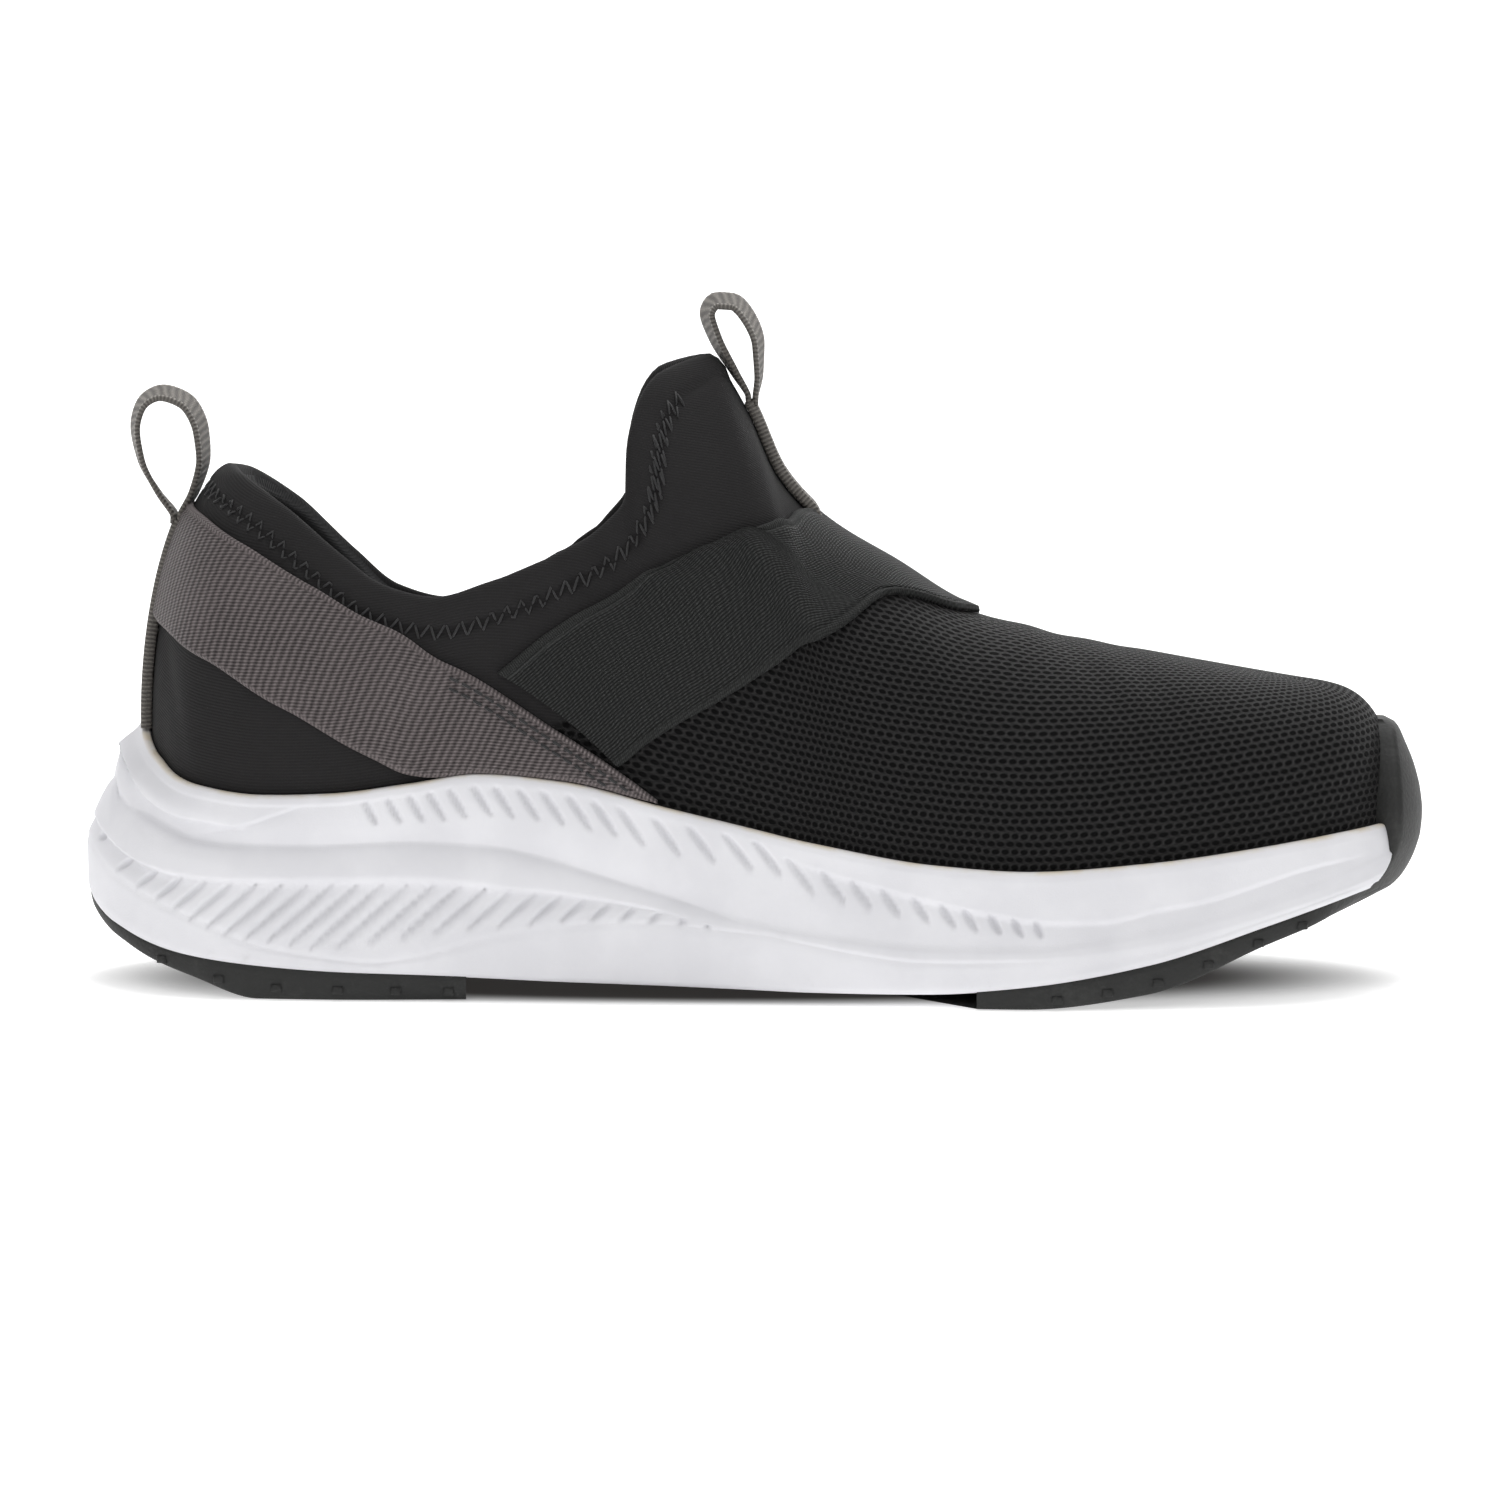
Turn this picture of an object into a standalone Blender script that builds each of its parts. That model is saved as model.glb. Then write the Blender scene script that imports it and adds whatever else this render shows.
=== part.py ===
"""A slip-on sneaker for the left foot, standing empty on its sole.

Toe at +X, inner (medial) side at -Y, outer (lateral) side at +Y, ground at Z = 0.
Sizes are in millimetres and become metres when a mesh is made.

Every ring of the shoe is read at the same stations: station 0 is the heel tip, station 12 the
toe tip, 0 to 12 runs along the medial side and 12 to 24 back along the lateral side.
"""
import math

import bmesh
import bpy
import numpy as np

MM = 0.001

# Driving sizes
LENGTH = 270.0
BALL_WIDTH = 97.0
COLLAR_HEIGHT = 104.6
TONGUE_HEIGHT = 126.4
TOE_HEIGHT = 60.6

# Walls and clearances
WALL = 2.2
COLLAR_PAD = 5.0
GAP = 0.3
OVERLAY_GAP = 0.45
RUBBER_GAP = 0.35
LIP = 2.2
RUBBER_OVERLAP = 0.6
INSOLE_THICKNESS = 4.0
INSOLE_CLEARANCE = 0.6
BED_EDGE = 6.0
BAND_THICKNESS = 1.2
STRAP_THICKNESS = 1.4
BUMPER_THICKNESS = 2.6
RIB_DEPTH = 1.5
CREASE_DEPTH = 1.6
GROOVE_DEPTH = 1.6
GROOVE_WIDTH = 2.6

# Loops of webbing
TAPE_WIDTH = 9.0
TAPE_THICKNESS = 1.1
HEEL_LOOP_RISE = 25.5
TONGUE_LOOP_RISE = 20.4
HEEL_TAPE_TOP = 93.0
TONGUE_TAPE_TOP = 0.4985
LOOP_LEG_GAP = 0.35
HEEL_LOOP = (
    # along and up from the foot of the loop, as shares of its rise
    (-0.170, 0.21), (-0.306, 0.47), (-0.349, 0.72), (-0.290, 0.92), (-0.137, 1.00),
    (0.055, 0.93), (0.169, 0.71), (0.188, 0.49), (0.118, 0.23),
)
TONGUE_LOOP = (
    # along and up from the foot of the loop, as shares of its rise
    (-0.157, 0.30), (-0.338, 0.62), (-0.417, 0.86), (-0.324, 0.99), (-0.167, 0.98),
    (-0.020, 0.84), (0.088, 0.56), (0.093, 0.27),
)
HEEL_LOOP_LEAN = -0.45
TONGUE_LOOP_LEAN = 0.50

ROWS = 12
STATION_STEP = 0.25
TONGUE_STEP = 0.125
TONGUE_SPAN = (4.75, 6.25)
TONGUE_STATION = 5.75
RIB_STEPS = 8

# Widest outline of the sole: share of LENGTH from the heel, shares of BALL_WIDTH to each side,
# and how far in from it the upper stands (mm)
OUTLINE = (
    # name,        along, medial, lateral, tuck
    ("heel tip",    0.000, 0.000, 0.000, 14.0),
    ("heel corner", 0.024, 0.180, 0.180, 12.2),
    ("heel side",   0.085, 0.315, 0.315, 7.4),
    ("heel seat",   0.190, 0.365, 0.368, 5.0),
    ("waist back",  0.310, 0.358, 0.385, 5.0),
    ("waist",       0.430, 0.365, 0.410, 4.6),
    ("shank",       0.540, 0.415, 0.455, 4.2),
    ("ball back",   0.630, 0.475, 0.490, 4.0),
    ("ball",        0.710, 0.500, 0.485, 4.0),
    ("ball front",  0.800, 0.470, 0.430, 4.2),
    ("toe side",    0.890, 0.420, 0.350, 4.6),
    ("toe corner",  0.966, 0.300, 0.195, 5.2),
    ("toe tip",     1.000, 0.075, -0.075, 5.8),
)

# Side of the sole, as heights at shares of LENGTH (mm). The relief column fades the carved
# ribs and the crease out towards the toe.
SIDE = (
    # along, top, middle, wing, rib_top, rib_foot, bottom, ground, bed, relief
    (0.000, 53.0, 47.0, 40.5, 34.0, 28.5, 19.5, 17.0, 31.0, 1.0),
    (0.024, 46.6, 41.5, 36.2, 30.2, 23.8, 13.2, 10.3, 31.0, 1.0),
    (0.085, 41.8, 36.6, 31.3, 24.6, 16.5, 8.2, 4.0, 31.0, 1.0),
    (0.135, 40.5, 35.4, 30.5, 24.0, 11.6, 6.6, 0.0, 31.0, 1.0),
    (0.190, 41.0, 35.6, 30.6, 24.1, 8.8, 5.6, 0.0, 31.0, 1.0),
    (0.250, 43.0, 37.0, 31.1, 24.2, 8.4, 5.0, 0.0, 31.0, 1.0),
    (0.300, 44.9, 37.8, 30.4, 23.3, 11.4, 4.4, 0.0, 31.0, 1.0),
    (0.360, 43.4, 35.5, 27.2, 21.4, 14.4, 3.6, 0.0, 30.0, 1.0),
    (0.440, 38.0, 29.6, 20.4, 18.0, 15.2, 2.9, 0.0, 27.5, 0.7),
    (0.500, 34.3, 28.6, 16.4, 15.0, 13.6, 2.5, 0.0, 24.5, 0.3),
    (0.540, 31.9, 27.0, 14.6, 13.2, 11.8, 2.3, 0.0, 22.5, 0.0),
    (0.630, 28.2, 21.6, 12.6, 11.0, 9.2, 2.8, 0.0, 20.0, 0.0),
    (0.700, 27.2, 18.2, 12.6, 11.2, 9.7, 4.4, 0.0, 19.5, 0.0),
    (0.790, 28.5, 20.0, 15.6, 14.0, 12.3, 8.4, 2.6, 20.0, 0.0),
    (0.880, 31.3, 25.2, 21.2, 19.7, 18.2, 15.8, 12.0, 22.5, 0.0),
    (0.960, 33.7, 29.6, 27.2, 26.0, 24.4, 22.0, 19.2, 26.2, 0.0),
    (1.000, 34.3, 32.4, 31.2, 30.2, 28.6, 24.6, 22.2, 27.4, 0.0),
)
SIDE_COLUMNS = ("top", "middle", "wing", "rib_top", "rib_foot", "bottom", "ground", "bed", "relief")

# Upper edge of the upper at stations along one side: the collar's rim from the heel to the
# tongue's tip, then the ridge down to the toe. Along is a share of LENGTH, out a share of
# BALL_WIDTH, height a share of the named height, and fullness the roundness of the section.
RIM = (
    # station, along, out, height, of, lateral_drop, fullness, belly
    (0.00, 0.1178, 0.000, 1.000, "collar", 0.0, 1.90, 0.0),
    (1.00, 0.1270, 0.105, 0.989, "collar", 0.0, 1.90, 0.3),
    (2.00, 0.1600, 0.210, 0.935, "collar", 1.0, 1.85, 0.8),
    (2.60, 0.2020, 0.252, 0.846, "collar", 3.0, 1.75, 1.0),
    (3.10, 0.2340, 0.276, 0.790, "collar", 4.5, 1.65, 1.2),
    (3.50, 0.2690, 0.288, 0.771, "collar", 5.0, 1.60, 1.2),
    (3.90, 0.3050, 0.286, 0.797, "collar", 5.0, 1.60, 1.0),
    (4.30, 0.3480, 0.268, 0.841, "collar", 3.5, 1.62, 0.8),
    (4.70, 0.3880, 0.232, 0.900, "collar", 1.5, 1.65, 0.5),
    (4.95, 0.4050, 0.212, 0.795, "tongue", 0.5, 1.68, 0.3),
    (5.15, 0.4060, 0.196, 0.862, "tongue", 0.0, 1.72, 0.2),
    (5.35, 0.4130, 0.168, 0.925, "tongue", 0.0, 1.78, 0.0),
    (5.55, 0.4310, 0.114, 0.980, "tongue", 0.0, 1.84, 0.0),
    (5.75, 0.4660, 0.000, 1.000, "tongue", 0.0, 1.88, 0.0),
    (6.00, 0.4945, 0.000, 0.920, "tongue", 0.0, 1.90, 0.0),
    (6.25, 0.5190, 0.000, 0.807, "tongue", 0.0, 1.90, 0.0),
    (6.50, 0.5500, 0.000, 0.735, "tongue", 0.0, 1.92, 0.0),
    (7.00, 0.6070, 0.000, 0.659, "tongue", 0.0, 1.96, 0.4),
    (7.50, 0.6590, 0.000, 0.592, "tongue", 0.0, 2.02, 1.0),
    (8.00, 0.7110, 0.000, 1.170, "toe", 0.0, 2.12, 1.6),
    (9.00, 0.7930, 0.000, 1.097, "toe", 0.0, 2.30, 2.0),
    (10.0, 0.8620, 0.000, 1.040, "toe", 0.0, 2.50, 1.8),
    (11.0, 0.9010, 0.000, 1.008, "toe", 0.0, 2.65, 1.0),
    (12.0, 0.9150, 0.000, 1.000, "toe", 0.0, 2.75, 0.0),
)
HEIGHTS = {"collar": COLLAR_HEIGHT, "tongue": TONGUE_HEIGHT, "toe": TOE_HEIGHT}

# Side outlines of the overlays: shares of LENGTH and of COLLAR_HEIGHT
BAND_OUTLINE = (
    # along, height
    (0.5493, 0.990), (0.5493, 0.908), (0.5237, 0.914), (0.4944, 0.891), (0.4659, 0.863),
    (0.4374, 0.824), (0.4089, 0.784), (0.3796, 0.741), (0.3511, 0.697), (0.3190, 0.638),
    (0.3300, 0.608), (0.3563, 0.512), (0.4074, 0.392), (0.4370, 0.340), (0.4485, 0.420),
    (0.4800, 0.574), (0.5115, 0.625), (0.5463, 0.680), (0.5756, 0.721), (0.6007, 0.748),
    (0.6900, 0.860), (0.6900, 0.990),
)
# Front edge of the band over the ridge, in plan: shares of LENGTH and of BALL_WIDTH
BAND_FRONT = (
    # along, out
    (0.7400, 0.900), (0.7400, 0.215), (0.6007, 0.190), (0.6241, 0.140), (0.6496, 0.080),
    (0.6650, 0.030), (0.6700, 0.000),
)
STRAP_OUTLINE = (
    # along, height
    (0.0850, 0.915), (0.1296, 0.855), (0.1800, 0.779), (0.2348, 0.706), (0.2778, 0.638),
    (0.3563, 0.512), (0.4352, 0.371), (0.4500, 0.300), (0.2300, 0.300), (0.2537, 0.420),
    (0.2207, 0.461), (0.1581, 0.551), (0.0963, 0.642), (0.0560, 0.700), (0.0500, 0.800),
    (0.0700, 0.900),
)
BUMPER_OUTLINE = (
    # along, height as a share of COLLAR_HEIGHT
    (0.9765, 0.512), (0.9770, 0.400), (0.9780, 0.330), (0.9740, 0.275), (0.9620, 0.225),
    (0.9430, 0.190), (0.9200, 0.100), (1.0600, 0.100), (1.0600, 0.512),
)

# Plans of the rubber pads, medial half: shares of LENGTH and of BALL_WIDTH
HEEL_PAD = ((0.2556, 0.000), (0.2852, 0.186), (0.3148, 0.620), (-0.0600, 0.620))
FOREFOOT_PAD = (
    (0.5150, 0.000), (0.5370, 0.124), (0.5890, 0.350), (0.6630, 0.443), (0.6778, 0.620),
    (1.0600, 0.620),
)
# Flex grooves: first and last place as shares of LENGTH, and how many
HEEL_GROOVES = (0.085, 0.241, 4)
FOREFOOT_GROOVES = (0.589, 0.885, 7)

# Where the ribs meet the ridge square on, rather than fanning into the heel or the toe
SQUARE_STATIONS = (0.0, 4.2, 5.5, 9.0, 11.5, 12.0)
SQUARE_SHARES = (0.0, 0.0, 1.0, 1.0, 0.0, 0.0)

COLLECTION = "slip_on_sneaker"


def clear_scene():
    for thing in list(bpy.data.objects):
        bpy.data.objects.remove(thing, do_unlink=True)


def smooth_read(places, values, at):
    """Cubic through the values with slopes that never overshoot them."""
    places = np.asarray(places, float)
    values = np.asarray(values, float)
    at = np.clip(np.asarray(at, float), places[0], places[-1])
    runs = np.diff(places)
    rises = np.diff(values) / runs
    slopes = np.zeros(len(values))
    for k in range(1, len(values) - 1):
        if rises[k - 1] * rises[k] > 0.0:
            before = 2.0 * runs[k] + runs[k - 1]
            after = runs[k] + 2.0 * runs[k - 1]
            slopes[k] = (before + after) / (before / rises[k - 1] + after / rises[k])
    slopes[0] = rises[0]
    slopes[-1] = rises[-1]
    cell = np.clip(np.searchsorted(places, at, side="right") - 1, 0, len(runs) - 1)
    u = (at - places[cell]) / runs[cell]
    step = runs[cell]
    return (values[cell] * (1 + 2 * u) * (1 - u) ** 2 + slopes[cell] * step * u * (1 - u) ** 2
            + values[cell + 1] * u * u * (3 - 2 * u) + slopes[cell + 1] * step * u * u * (u - 1))


def ring_stations():
    """Stations around the shoe, closer together where the tongue rises."""
    first, last = TONGUE_SPAN
    medial = np.concatenate([
        np.arange(0.0, first, STATION_STEP),
        np.arange(first, last, TONGUE_STEP),
        np.arange(last, ROWS + STATION_STEP / 2, STATION_STEP),
    ])
    return np.concatenate([medial, 2 * ROWS - medial[-2:0:-1]])


def side_station(stations):
    """Fold the lateral half onto the medial one: 13 becomes 11, and so on."""
    return np.where(stations <= ROWS, stations, 2 * ROWS - stations)


def outline_knots():
    medial = [((row[1] - 0.5) * LENGTH, -row[2] * BALL_WIDTH) for row in OUTLINE]
    lateral = [((row[1] - 0.5) * LENGTH, row[3] * BALL_WIDTH) for row in OUTLINE[1:-1]]
    return np.array(medial + lateral[::-1])


def outline_point(stations):
    """Points and outward directions of the sole's widest outline."""
    knots = outline_knots()
    count = len(knots)
    cell = np.floor(stations).astype(int) % count
    u = (stations - np.floor(stations))[:, None]
    before, here = knots[cell - 1], knots[cell]
    ahead, past = knots[(cell + 1) % count], knots[(cell + 2) % count]
    lean = (ahead - before) / 2.0
    lean_ahead = (past - here) / 2.0
    point = (here * (1 + 2 * u) * (1 - u) ** 2 + lean * u * (1 - u) ** 2
             + ahead * u * u * (3 - 2 * u) + lean_ahead * u * u * (u - 1))
    slope = (here * (6 * u * u - 6 * u) + lean * (1 - 4 * u + 3 * u * u)
             + ahead * (6 * u - 6 * u * u) + lean_ahead * (3 * u * u - 2 * u))
    slope /= np.linalg.norm(slope, axis=1)[:, None]
    outward = np.stack([slope[:, 1], -slope[:, 0]], axis=1)
    return point, outward


def inset_ring(stations, inset, height):
    """A ring of 3-D points: the outline moved in by inset, at the heights given."""
    point, outward = outline_point(stations)
    moved = point - outward * np.broadcast_to(inset, stations.shape)[:, None]
    return np.column_stack([moved, np.broadcast_to(height, stations.shape)])


def tuck(stations):
    rows = np.arange(ROWS + 1)
    return smooth_read(rows, [row[4] for row in OUTLINE], side_station(stations))


def side_value(name, stations):
    """A column of SIDE at each station, by the station's share of the length."""
    rows = np.arange(ROWS + 1)
    along = smooth_read(rows, [row[1] for row in OUTLINE], side_station(stations))
    column = 1 + SIDE_COLUMNS.index(name)
    return smooth_read([row[0] for row in SIDE], [row[column] for row in SIDE], along)


def toe_recess(stations):
    """How far the foam stands back behind the toe bumper."""
    from_tip = ROWS - side_station(stations)
    share = np.clip(1.0 - from_tip / 0.9, 0.0, 1.0)
    return BUMPER_THICKNESS * share * share * (3 - 2 * share)


def rim_column(index, stations):
    side = side_station(stations)
    return smooth_read([row[0] for row in RIM], [row[index] for row in RIM], side)


def rim_points(stations):
    """Top end of each rib: the collar's edge, or the ridge over the foot."""
    side = side_station(stations)
    is_lateral = stations > ROWS
    heights = [row[3] * HEIGHTS[row[4]] for row in RIM]
    height = smooth_read([row[0] for row in RIM], heights, side)
    height = height - np.where(is_lateral, rim_column(5, stations), 0.0)
    along = (rim_column(1, stations) - 0.5) * LENGTH
    out = rim_column(2, stations) * BALL_WIDTH
    ridge_shift = smooth_read([0.0, 7.0, 12.0], [0.0, 0.0, -4.0], side)
    across = np.where(is_lateral, out, -out) + ridge_shift
    return np.column_stack([along, across, height])


def rib_grid(stations, grow=0.0):
    """Rings of the upper's outside, from the foam's edge up to the rim, grown outwards."""
    foot = inset_ring(stations, tuck(stations), side_value("top", stations))
    _, outward = outline_point(stations)
    rim = rim_points(stations)
    fullness = rim_column(6, stations)
    belly = rim_column(7, stations)
    square = smooth_read(SQUARE_STATIONS, SQUARE_SHARES, side_station(stations))
    rings = []
    for step in range(RIB_STEPS + 1):
        angle = math.pi / 2 * step / RIB_STEPS
        power = 2.0 / fullness
        lean = 1.0 - max(math.cos(angle), 0.0) ** power
        climb = math.sin(angle) ** power
        swell = belly * math.sin(math.pi * step / RIB_STEPS)
        early = lean + (1.0 - (1.0 - lean) ** 2 - lean) * square
        point = foot + (rim - foot) * np.stack([early, lean, climb], axis=1)
        point[:, :2] += outward * swell[:, None]
        rings.append(point)
    grid = np.array(rings)
    if grow:
        grid = grid + grid_normals(grid, stations) * grow
    return grid


def grid_normals(grid, stations):
    """Outward normals of the rib grid; the ribs meet over the ridge past the tongue's tip."""
    around = np.roll(grid, -1, axis=1) - np.roll(grid, 1, axis=1)
    up = np.zeros_like(grid)
    up[1:-1] = grid[2:] - grid[:-2]
    up[0] = grid[1] - grid[0]
    up[-1] = grid[-1] - grid[-2]
    normals = np.cross(around, up)
    count = len(stations)
    mirror = (count - np.arange(count)) % count
    closed = side_station(stations) >= TONGUE_STATION
    normals /= np.linalg.norm(normals, axis=2)[:, :, None] + 1e-12
    shared = normals[-1] + normals[-1][mirror]
    shared /= np.linalg.norm(shared, axis=1)[:, None] + 1e-12
    normals[-1][closed] = shared[closed]
    return normals


def new_object(name, vertices, faces, collection):
    mesh = bpy.data.meshes.new(name)
    mesh.from_pydata([tuple(float(c) * MM for c in v) for v in vertices], [], faces)
    thing = bpy.data.objects.new(name, mesh)
    bpy.data.collections[collection].objects.link(thing)
    return thing


def tidy_mesh(thing, merge=0.00001):
    """Weld shared points, drop empty faces and turn every face out."""
    mesh = bmesh.new()
    mesh.from_mesh(thing.data)
    bmesh.ops.remove_doubles(mesh, verts=mesh.verts, dist=merge)
    bmesh.ops.dissolve_degenerate(mesh, edges=mesh.edges, dist=merge)
    bmesh.ops.recalc_face_normals(mesh, faces=mesh.faces)
    mesh.to_mesh(thing.data)
    mesh.free()


def ring_faces(count, ring_total, start=0):
    faces = []
    for level in range(ring_total - 1):
        low = start + level * count
        high = low + count
        for k in range(count):
            ahead = (k + 1) % count
            faces.append((low + k, low + ahead, high + ahead, high + k))
    return faces


def strip_cap(count, first):
    """Close a ring with a strip of quads from the medial side to the lateral one."""
    faces = [(first, first + 1, first + count - 1)]
    half = count // 2
    for k in range(1, half - 1):
        faces.append((first + k, first + k + 1, first + count - k - 1, first + count - k))
    faces.append((first + half - 1, first + half, first + half + 1))
    return faces


def loft(name, rings, collection):
    """A closed solid through rings of equal count, capped at both ends."""
    count = len(rings[0])
    vertices = np.concatenate(rings)
    faces = ring_faces(count, len(rings))
    faces += strip_cap(count, 0)
    faces += strip_cap(count, (len(rings) - 1) * count)
    thing = new_object(name, vertices, faces, collection)
    tidy_mesh(thing)
    return thing


def prism(name, outline, low, high, axis, collection):
    """An outline extruded along Y (a side outline) or along Z (a plan)."""
    def place(point, depth):
        if axis == "Y":
            return (point[0], depth, point[1])
        return (point[0], point[1], depth)
    count = len(outline)
    vertices = [place(p, low) for p in outline] + [place(p, high) for p in outline]
    faces = [tuple(range(count)), tuple(range(count, 2 * count))]
    faces += [(k, (k + 1) % count, count + (k + 1) % count, count + k) for k in range(count)]
    thing = new_object(name, vertices, faces, collection)
    tidy_mesh(thing)
    thing.hide_render = True
    thing.display_type = "WIRE"
    return thing


def side_outline(table):
    return [((along - 0.5) * LENGTH, height * COLLAR_HEIGHT) for along, height in table]


def cut(thing, cutter, operation):
    """Apply an exact Boolean and keep its result as the object's own mesh."""
    boolean = thing.modifiers.new("cut", "BOOLEAN")
    boolean.object = cutter
    boolean.operation = operation
    boolean.solver = "EXACT"
    bpy.context.view_layer.update()
    seen = thing.evaluated_get(bpy.context.evaluated_depsgraph_get())
    mesh = bpy.data.meshes.new_from_object(seen)
    thing.modifiers.clear()
    thing.data = mesh
    tidy_mesh(thing, merge=0.000001)


def keep_largest(thing):
    """Keep the biggest of the bodies that a cut leaves."""
    mesh = bmesh.new()
    mesh.from_mesh(thing.data)
    mesh.verts.ensure_lookup_table()
    unseen = set(mesh.verts)
    groups = []
    while unseen:
        stack = [unseen.pop()]
        group = set(stack)
        while stack:
            for edge in stack.pop().link_edges:
                for vert in edge.verts:
                    if vert in unseen:
                        unseen.discard(vert)
                        group.add(vert)
                        stack.append(vert)
        groups.append(group)
    groups.sort(key=len)
    for group in groups[:-1]:
        bmesh.ops.delete(mesh, geom=list(group), context="VERTS")
    mesh.to_mesh(thing.data)
    mesh.free()


def finish(thing, color, roughness):
    material = bpy.data.materials.new(thing.name)
    material.use_nodes = True
    shader = material.node_tree.nodes["Principled BSDF"]
    shader.inputs["Base Color"].default_value = (*color, 1.0)
    shader.inputs["Roughness"].default_value = roughness
    shader.inputs["Metallic"].default_value = 0.0
    material.diffuse_color = (*color, 1.0)
    thing.data.materials.clear()
    thing.data.materials.append(material)
    thing.data.shade_smooth()
    thing.data.set_sharp_from_angle(angle=math.radians(35))


def upper_surface(name, stations, grow, lowest, collection):
    """The upper's outside as an open sheet; lowest adds the wall that stands in the foam."""
    grid = rib_grid(stations, grow)
    if lowest:
        foot = grid[0].copy()
        foot[:, 2] = side_value("bed", stations) + GAP
        grid = np.concatenate([foot[None], grid])
    vertices = grid.reshape(-1, 3)
    faces = ring_faces(len(stations), len(grid))
    thing = new_object(name, vertices, faces, collection)
    mesh = bmesh.new()
    mesh.from_mesh(thing.data)
    bmesh.ops.remove_doubles(mesh, verts=mesh.verts, dist=0.00001)
    bmesh.ops.recalc_face_normals(mesh, faces=mesh.faces)
    mesh.faces.ensure_lookup_table()
    heel = min(mesh.faces, key=lambda f: f.calc_center_median().x)
    if heel.normal.x > 0.0:
        bmesh.ops.reverse_faces(mesh, faces=mesh.faces)
    mesh.to_mesh(thing.data)
    mesh.free()
    return thing


def pad_weights(thing):
    """Weight the wall's thickness: thin at the vamp, padded around the collar."""
    group = thing.vertex_groups.new(name="wall")
    stations = ring_stations()
    rim = rim_points(stations)
    is_open = side_station(stations) < TONGUE_STATION + 0.6
    edge = rim[is_open] * MM
    for vert in thing.data.vertices:
        distance = np.min(np.linalg.norm(edge - np.array(vert.co), axis=1)) / MM
        share = np.clip((30.0 - distance) / 22.0, 0.0, 1.0)
        share = share * share * (3 - 2 * share)
        thick = WALL + (COLLAR_PAD - WALL) * share
        group.add([vert.index], float(thick / COLLAR_PAD), "REPLACE")
    return group.name


def thicken(thing, thickness, offset, group=""):
    shell = thing.modifiers.new("wall", "SOLIDIFY")
    shell.thickness = thickness * MM
    shell.offset = offset
    shell.use_even_offset = False
    shell.use_quality_normals = True
    shell.use_rim = True
    if group:
        shell.vertex_group = group
    bpy.context.view_layer.update()
    seen = thing.evaluated_get(bpy.context.evaluated_depsgraph_get())
    mesh = bpy.data.meshes.new_from_object(seen)
    thing.modifiers.clear()
    thing.data = mesh
    tidy_mesh(thing)


def make_upper():
    upper = upper_surface("upper", ring_stations(), 0.0, True, COLLECTION)
    thicken(upper, COLLAR_PAD, -1.0, pad_weights(upper))
    upper.vertex_groups.clear()
    finish(upper, (0.018, 0.018, 0.019), 0.85)
    return upper


def skin(name, thickness):
    """A shell that lies on the upper with the usual gap, from which overlays are cut."""
    sheet = upper_surface(name, ring_stations(), OVERLAY_GAP, False, COLLECTION)
    mesh = bmesh.new()
    mesh.from_mesh(sheet.data)
    lowest = [v for v in mesh.verts if v.is_boundary]
    stations = ring_stations()
    edge = inset_ring(stations, tuck(stations), side_value("top", stations)) * MM
    for vert in lowest:
        nearest = np.min(np.linalg.norm(edge - np.array(vert.co), axis=1))
        if nearest < LIP * MM:
            vert.co.z += 2.0 * GAP * MM
    mesh.to_mesh(sheet.data)
    mesh.free()
    thicken(sheet, thickness, 1.0)
    return sheet


def make_band():
    band = skin("instep_band", BAND_THICKNESS)
    cutter = prism("band_outline", side_outline(BAND_OUTLINE), -BALL_WIDTH, BALL_WIDTH, "Y", "cutters")
    strap = [(x, z + 1.5 * GAP) for x, z in side_outline(STRAP_OUTLINE)]
    relief = prism("strap_relief", strap, -BALL_WIDTH, BALL_WIDTH, "Y", "cutters")
    medial = [((along - 0.5) * LENGTH, -out * BALL_WIDTH) for along, out in BAND_FRONT]
    lateral = [(x, -y) for x, y in medial[-2::-1]]
    back = -LENGTH / 2
    plan = medial + lateral + [(back, -medial[0][1]), (back, medial[0][1])]
    front = prism("band_front", plan, 0.0, 2.0 * TONGUE_HEIGHT, "Z", "cutters")
    cut(band, cutter, "INTERSECT")
    cut(band, front, "INTERSECT")
    cut(band, relief, "DIFFERENCE")
    keep_largest(band)
    finish(band, (0.022, 0.023, 0.022), 0.8)
    return band


def make_straps():
    half_tape = TAPE_WIDTH / 2 + GAP
    reach = {"heel_strap_medial": (-BALL_WIDTH, -half_tape),
             "heel_strap_lateral": (half_tape, BALL_WIDTH)}
    for name, (low, high) in reach.items():
        strap = skin(name, STRAP_THICKNESS)
        cutter = prism(name + "_outline", side_outline(STRAP_OUTLINE), low, high, "Y", "cutters")
        cut(strap, cutter, "INTERSECT")
        keep_largest(strap)
        finish(strap, (0.09, 0.08, 0.08), 0.75)


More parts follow.
